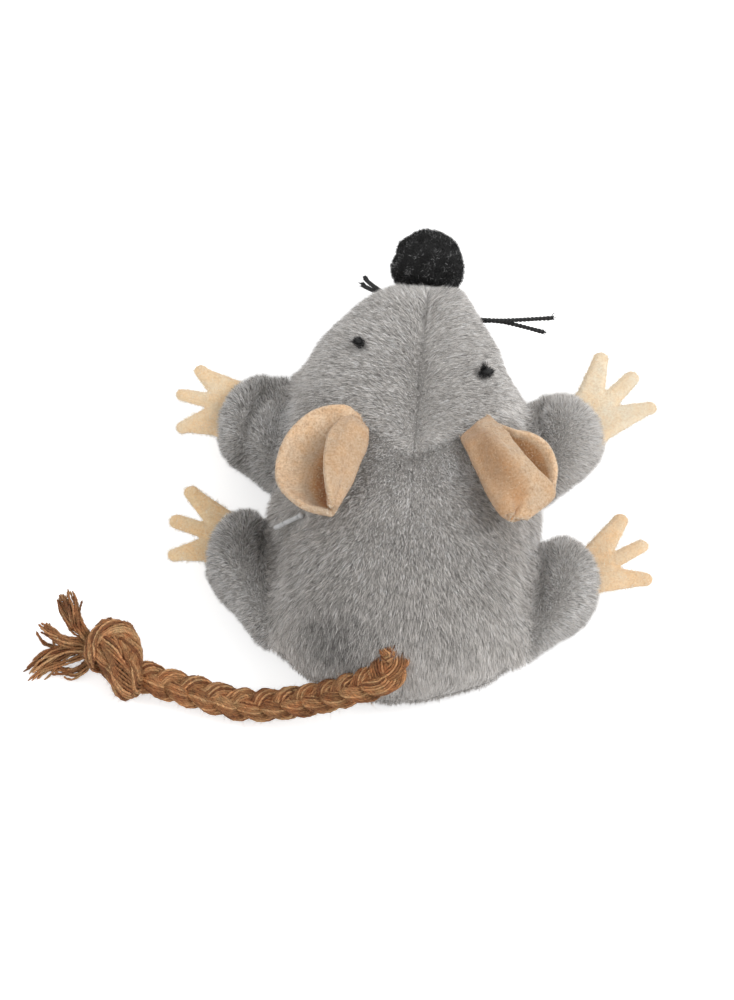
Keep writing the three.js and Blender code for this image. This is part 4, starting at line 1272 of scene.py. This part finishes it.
def add_eye(name, place, half, tall, loose, heading):
    centre = on_body(*place)
    normal = over_normal(*centre[:2])
    a, b = (unit(v - TOWARDS * (v @ normal) / (TOWARDS @ normal)) for v in (RIGHT, ABOVE))

    def placed(p):
        return centre + p[:, :1] * a + p[:, 1:2] * b + (p[:, 2:] - 0.1) * normal

    heart, faces = blob([half, tall, EYE_HEIGHT], 2.0, 16)
    paths = []
    for _ in range(EYE_THREADS):
        t, off, turn = np.linspace(-0.97, 0.97, 14), rng.uniform(-0.8, 0.8), rng.uniform(0, math.pi)
        t = t * math.sqrt(1 - off**2)
        x, y = t * math.cos(turn) - off * math.sin(turn), t * math.sin(turn) + off * math.cos(turn)
        z = np.sqrt(np.maximum(0, 1 - x**2 - y**2)) + rng.uniform(0, 0.2)
        paths.append(np.stack([half * x, tall * y, EYE_HEIGHT * z], 1))
    points, knot_faces, uv = merged([
        (heart, faces, np.full((len(heart), 2), 0.5)), tubes(paths, 0.15, sides=5, ply=0.3, pitch=0.8)])
    points, heart = placed(points), placed(heart)
    eye = make(f"{name}_thread", points, knot_faces, thread_look, uv)
    LYING.append(np.concatenate([points, centre + 1.3 * (points - centre)]))
    count = RING_HAIRS + 4 * loose
    turn = rng.uniform(0, TURN, count)
    turn[RING_HAIRS:] = math.radians(heading) + rng.normal(0, 0.3, 4 * loose)
    across, up = np.cos(turn)[:, None] * a, np.sin(turn)[:, None] * b
    start = across * 0.75 * half + up * 0.75 * tall
    start[RING_HAIRS:] -= 0.35 * half * a
    long = np.r_[rng.uniform(0.7, 1.8, RING_HAIRS), rng.uniform(1.5, 4.2, 4 * loose)]
    hairs = strands(
        f"{name}_hairs", centre + start + 0.4 * normal, np.tile(normal, (count, 1)), across + up, long,
        0.1, (45, 25), 0.6 * rng.random(count), black_fur, sink=0.3)
    quads = knot_faces[0]
    roots, n = scatter(heart, quads[quads.max(1) < len(heart)], unit(heart - centre), EYE_HAIRS)
    count = len(roots)
    way = brushed(n)
    pile = strands(
        f"{name}_pile", roots, n, way, rng.uniform(0.7, 1.5, count), 0.09, (70, 35), rng.beta(2, 2.6, count),
        black_fur, sink=-0.1)
    attach(eye, "body", name)
    attach(hairs, "body")
    attach(pile, "body")


WHISKERS = {  # where it leaves the head, and the picture places and heights of its middle and its end
    "whisker_left_upper": (0.95, 0.327, -1, (370, 283.5, 11), (364.5, 277.5, 8.5)),
    "whisker_left_lower": (0.953, 0.298, -1, (368.5, 288.5, 10), (362, 284.5, 7.5)),
    "whisker_right_upper": (0.876, 0.423, 1, (504, 320.5, 23), (552, 318, 23)),
    "whisker_right_lower": (0.876, 0.41, 1, (503, 322, 21.5), (543.5, 332, 20)),
}


WHISKER_STEP, WHISKER_TURN, WHISKER_SPREAD = 0.2, 2.1, 0.28


def add_whisker(name, along, up, away, *rows):
    y = along_body(along)
    middle, half, *_ = section(y)
    root = np.array([middle + math.copysign(half - 2, away), y, HEIGHT * up])
    path = line([root, *seen_line(rows)], WHISKER_STEP)
    course, side, lift = frames(path)
    s = np.arange(len(path)) * WHISKER_STEP
    opened = 1 + 0.6 * np.clip(1 - (s[-1] - s) / 2.6, 0, 1) ** 1.5
    paths, tips = [], []
    for k in range(2):
        phase = TURN * s / WHISKER_TURN + math.pi * k
        paths.append(path + WHISKER_SPREAD * opened[:, None] * (
            np.cos(phase)[:, None] * side + np.sin(phase)[:, None] * lift))
    thread = tubes(paths, 0.36, ply=0.12, pitch=0.9)
    t = np.linspace(0, 1, 8)[:, None]
    for _ in range(24):
        way = unit(course[-1] + rng.normal(0, 0.3, 3))
        tips.append(path[-1] + rng.normal(0, 0.28, 3) - 0.4 * course[-1] + way * t * rng.uniform(0.5, 1.1))
    points, faces, uv = merged([thread, tubes(tips, 0.1, sides=4)])
    attach(make(f"{name}_thread", points, faces, thread_look, uv), "body", name)


def add_pin():
    """The clear bar of a tag, with the bead at its end."""
    clear = Look("clear_plastic", roughness=0.25)
    haze = clear.noise(500, 3)
    clear.set({
        "Base Color": clear.ramp(haze, (0.3, grey(0.5)), (0.7, grey(0.76))), "Transmission Weight": 0.2,
        "Roughness": clear.node("MapRange", {"Value": haze, 3: 0.2, 4: 0.4}).outputs[0]})
    clear.bump(haze, 0.2, 0.1)
    low, high = seen_line([(274, 528.5, 30.6), (301, 515.5, 37.4)])
    path = line([low, (low + high) / 2, high], 0.25)
    bead, faces = blob(0.85, 2.4, 16)
    points, faces, uv = merged([
        tubes([path], 0.6, sides=12, ply=0.12, pitch=1e6), (path[-1] + bead, faces, np.full((len(bead), 2), 0.5))])
    LYING.append(points)
    attach(make("tag_pin_bar", points, faces, clear.material, uv), "body", "tag_pin")


# Light and ground

GROUND_HALF, GROUND_DROP = 3000, 0.3


def add_stage():
    scene = bpy.context.scene
    scene.view_settings.view_transform = "Standard"
    world = scene.world = bpy.data.worlds.new("studio")
    world.use_nodes = True
    tree = world.node_tree
    tree.nodes.clear()
    white, soft = (
        add_node(tree, "Background", {"Color": (1, 1, 1, 1), "Strength": strength}).outputs[0]
        for strength in (1, 0.65))
    rays = add_node(tree, "LightPath").outputs
    direct = rays["Is Camera Ray"]
    for kind in ("Is Glossy Ray", "Is Transmission Ray"):
        direct = add_node(tree, "Math", {0: direct, 1: rays[kind]}, operation="MAXIMUM").outputs[0]
    mix = add_node(tree, "MixShader", {0: direct, 1: soft, 2: white})
    add_node(tree, "OutputWorld", {"Surface": mix.outputs[0]})
    for name, at, size, power in (("key", (0.85, -0.05, 0.95), 0.7, 8.0), ("fill", (-0.7, -0.5, 0.9), 0.9, 2.0)):
        lamp = bpy.data.lights.new(name, "AREA")
        lamp.size, lamp.energy = size, power
        obj = linked(name, lamp)
        obj.location = at
        obj.rotation_mode = "QUATERNION"
        obj.rotation_quaternion = obj.location.to_track_quat("Z", "Y")
    look = Look("ground", (0.85, 0.85, 0.85), 1.0)
    lit = look.shader.outputs[0]
    glow = look.node("Emission", {"Color": (1, 1, 1, 1), "Strength": 0.6}).outputs[0]
    bright = look.node("AddShader", {0: lit, 1: glow}).outputs[0]
    mix = look.node("MixShader", {0: look.node("LightPath").outputs["Is Camera Ray"], 1: lit, 2: bright})
    feed(look.tree, look.tree.nodes["Material Output"], {"Surface": mix.outputs[0]})
    corners = GROUND_HALF * np.array([[-1, -1, 0], [1, -1, 0], [1, 1, 0], [-1, 1, 0]]) - GROUND_DROP * UP
    make("ground", corners, [np.array([[0, 1, 2, 3]])], look.material)


add_stage()
folded_felt = felt_look("felt", (0.75, 0.565, 0.4), (0.56, 0.36, 0.205), True)
EVEN = ((0, grey(1)), (1, grey(1)))
felt_fibre = strand_look(
    "felt_fibre", ((0, (0.54, 0.35, 0.2)), (0.6, (0.76, 0.56, 0.37)), (1, (1.0, 0.93, 0.8))), EVEN)
# paw edge fibres painted pale: painted light over the shade under the paws' edges
painted_light_fibre = strand_look(
    "painted_light_felt_fibre", ((0, (0.86, 0.68, 0.48)), (0.5, (0.97, 0.87, 0.72)), (1, (1.0, 0.98, 0.93))), EVEN)
braid, rope_path = add_tail()
knot = add_knot()
fray = add_fray()
metres(ROPE[1])
float(distances(metres(rope_path))[-1])
metres(rope_path)
add_nose()
for name, eye in EYES.items():
    add_eye(name, *eye)
for name, whisker in WHISKERS.items():
    add_whisker(name, *whisker)
for leg in legs:
    add_paw(leg)
for name in EARS:
    add_ear(name)
add_pin()
add_plush()
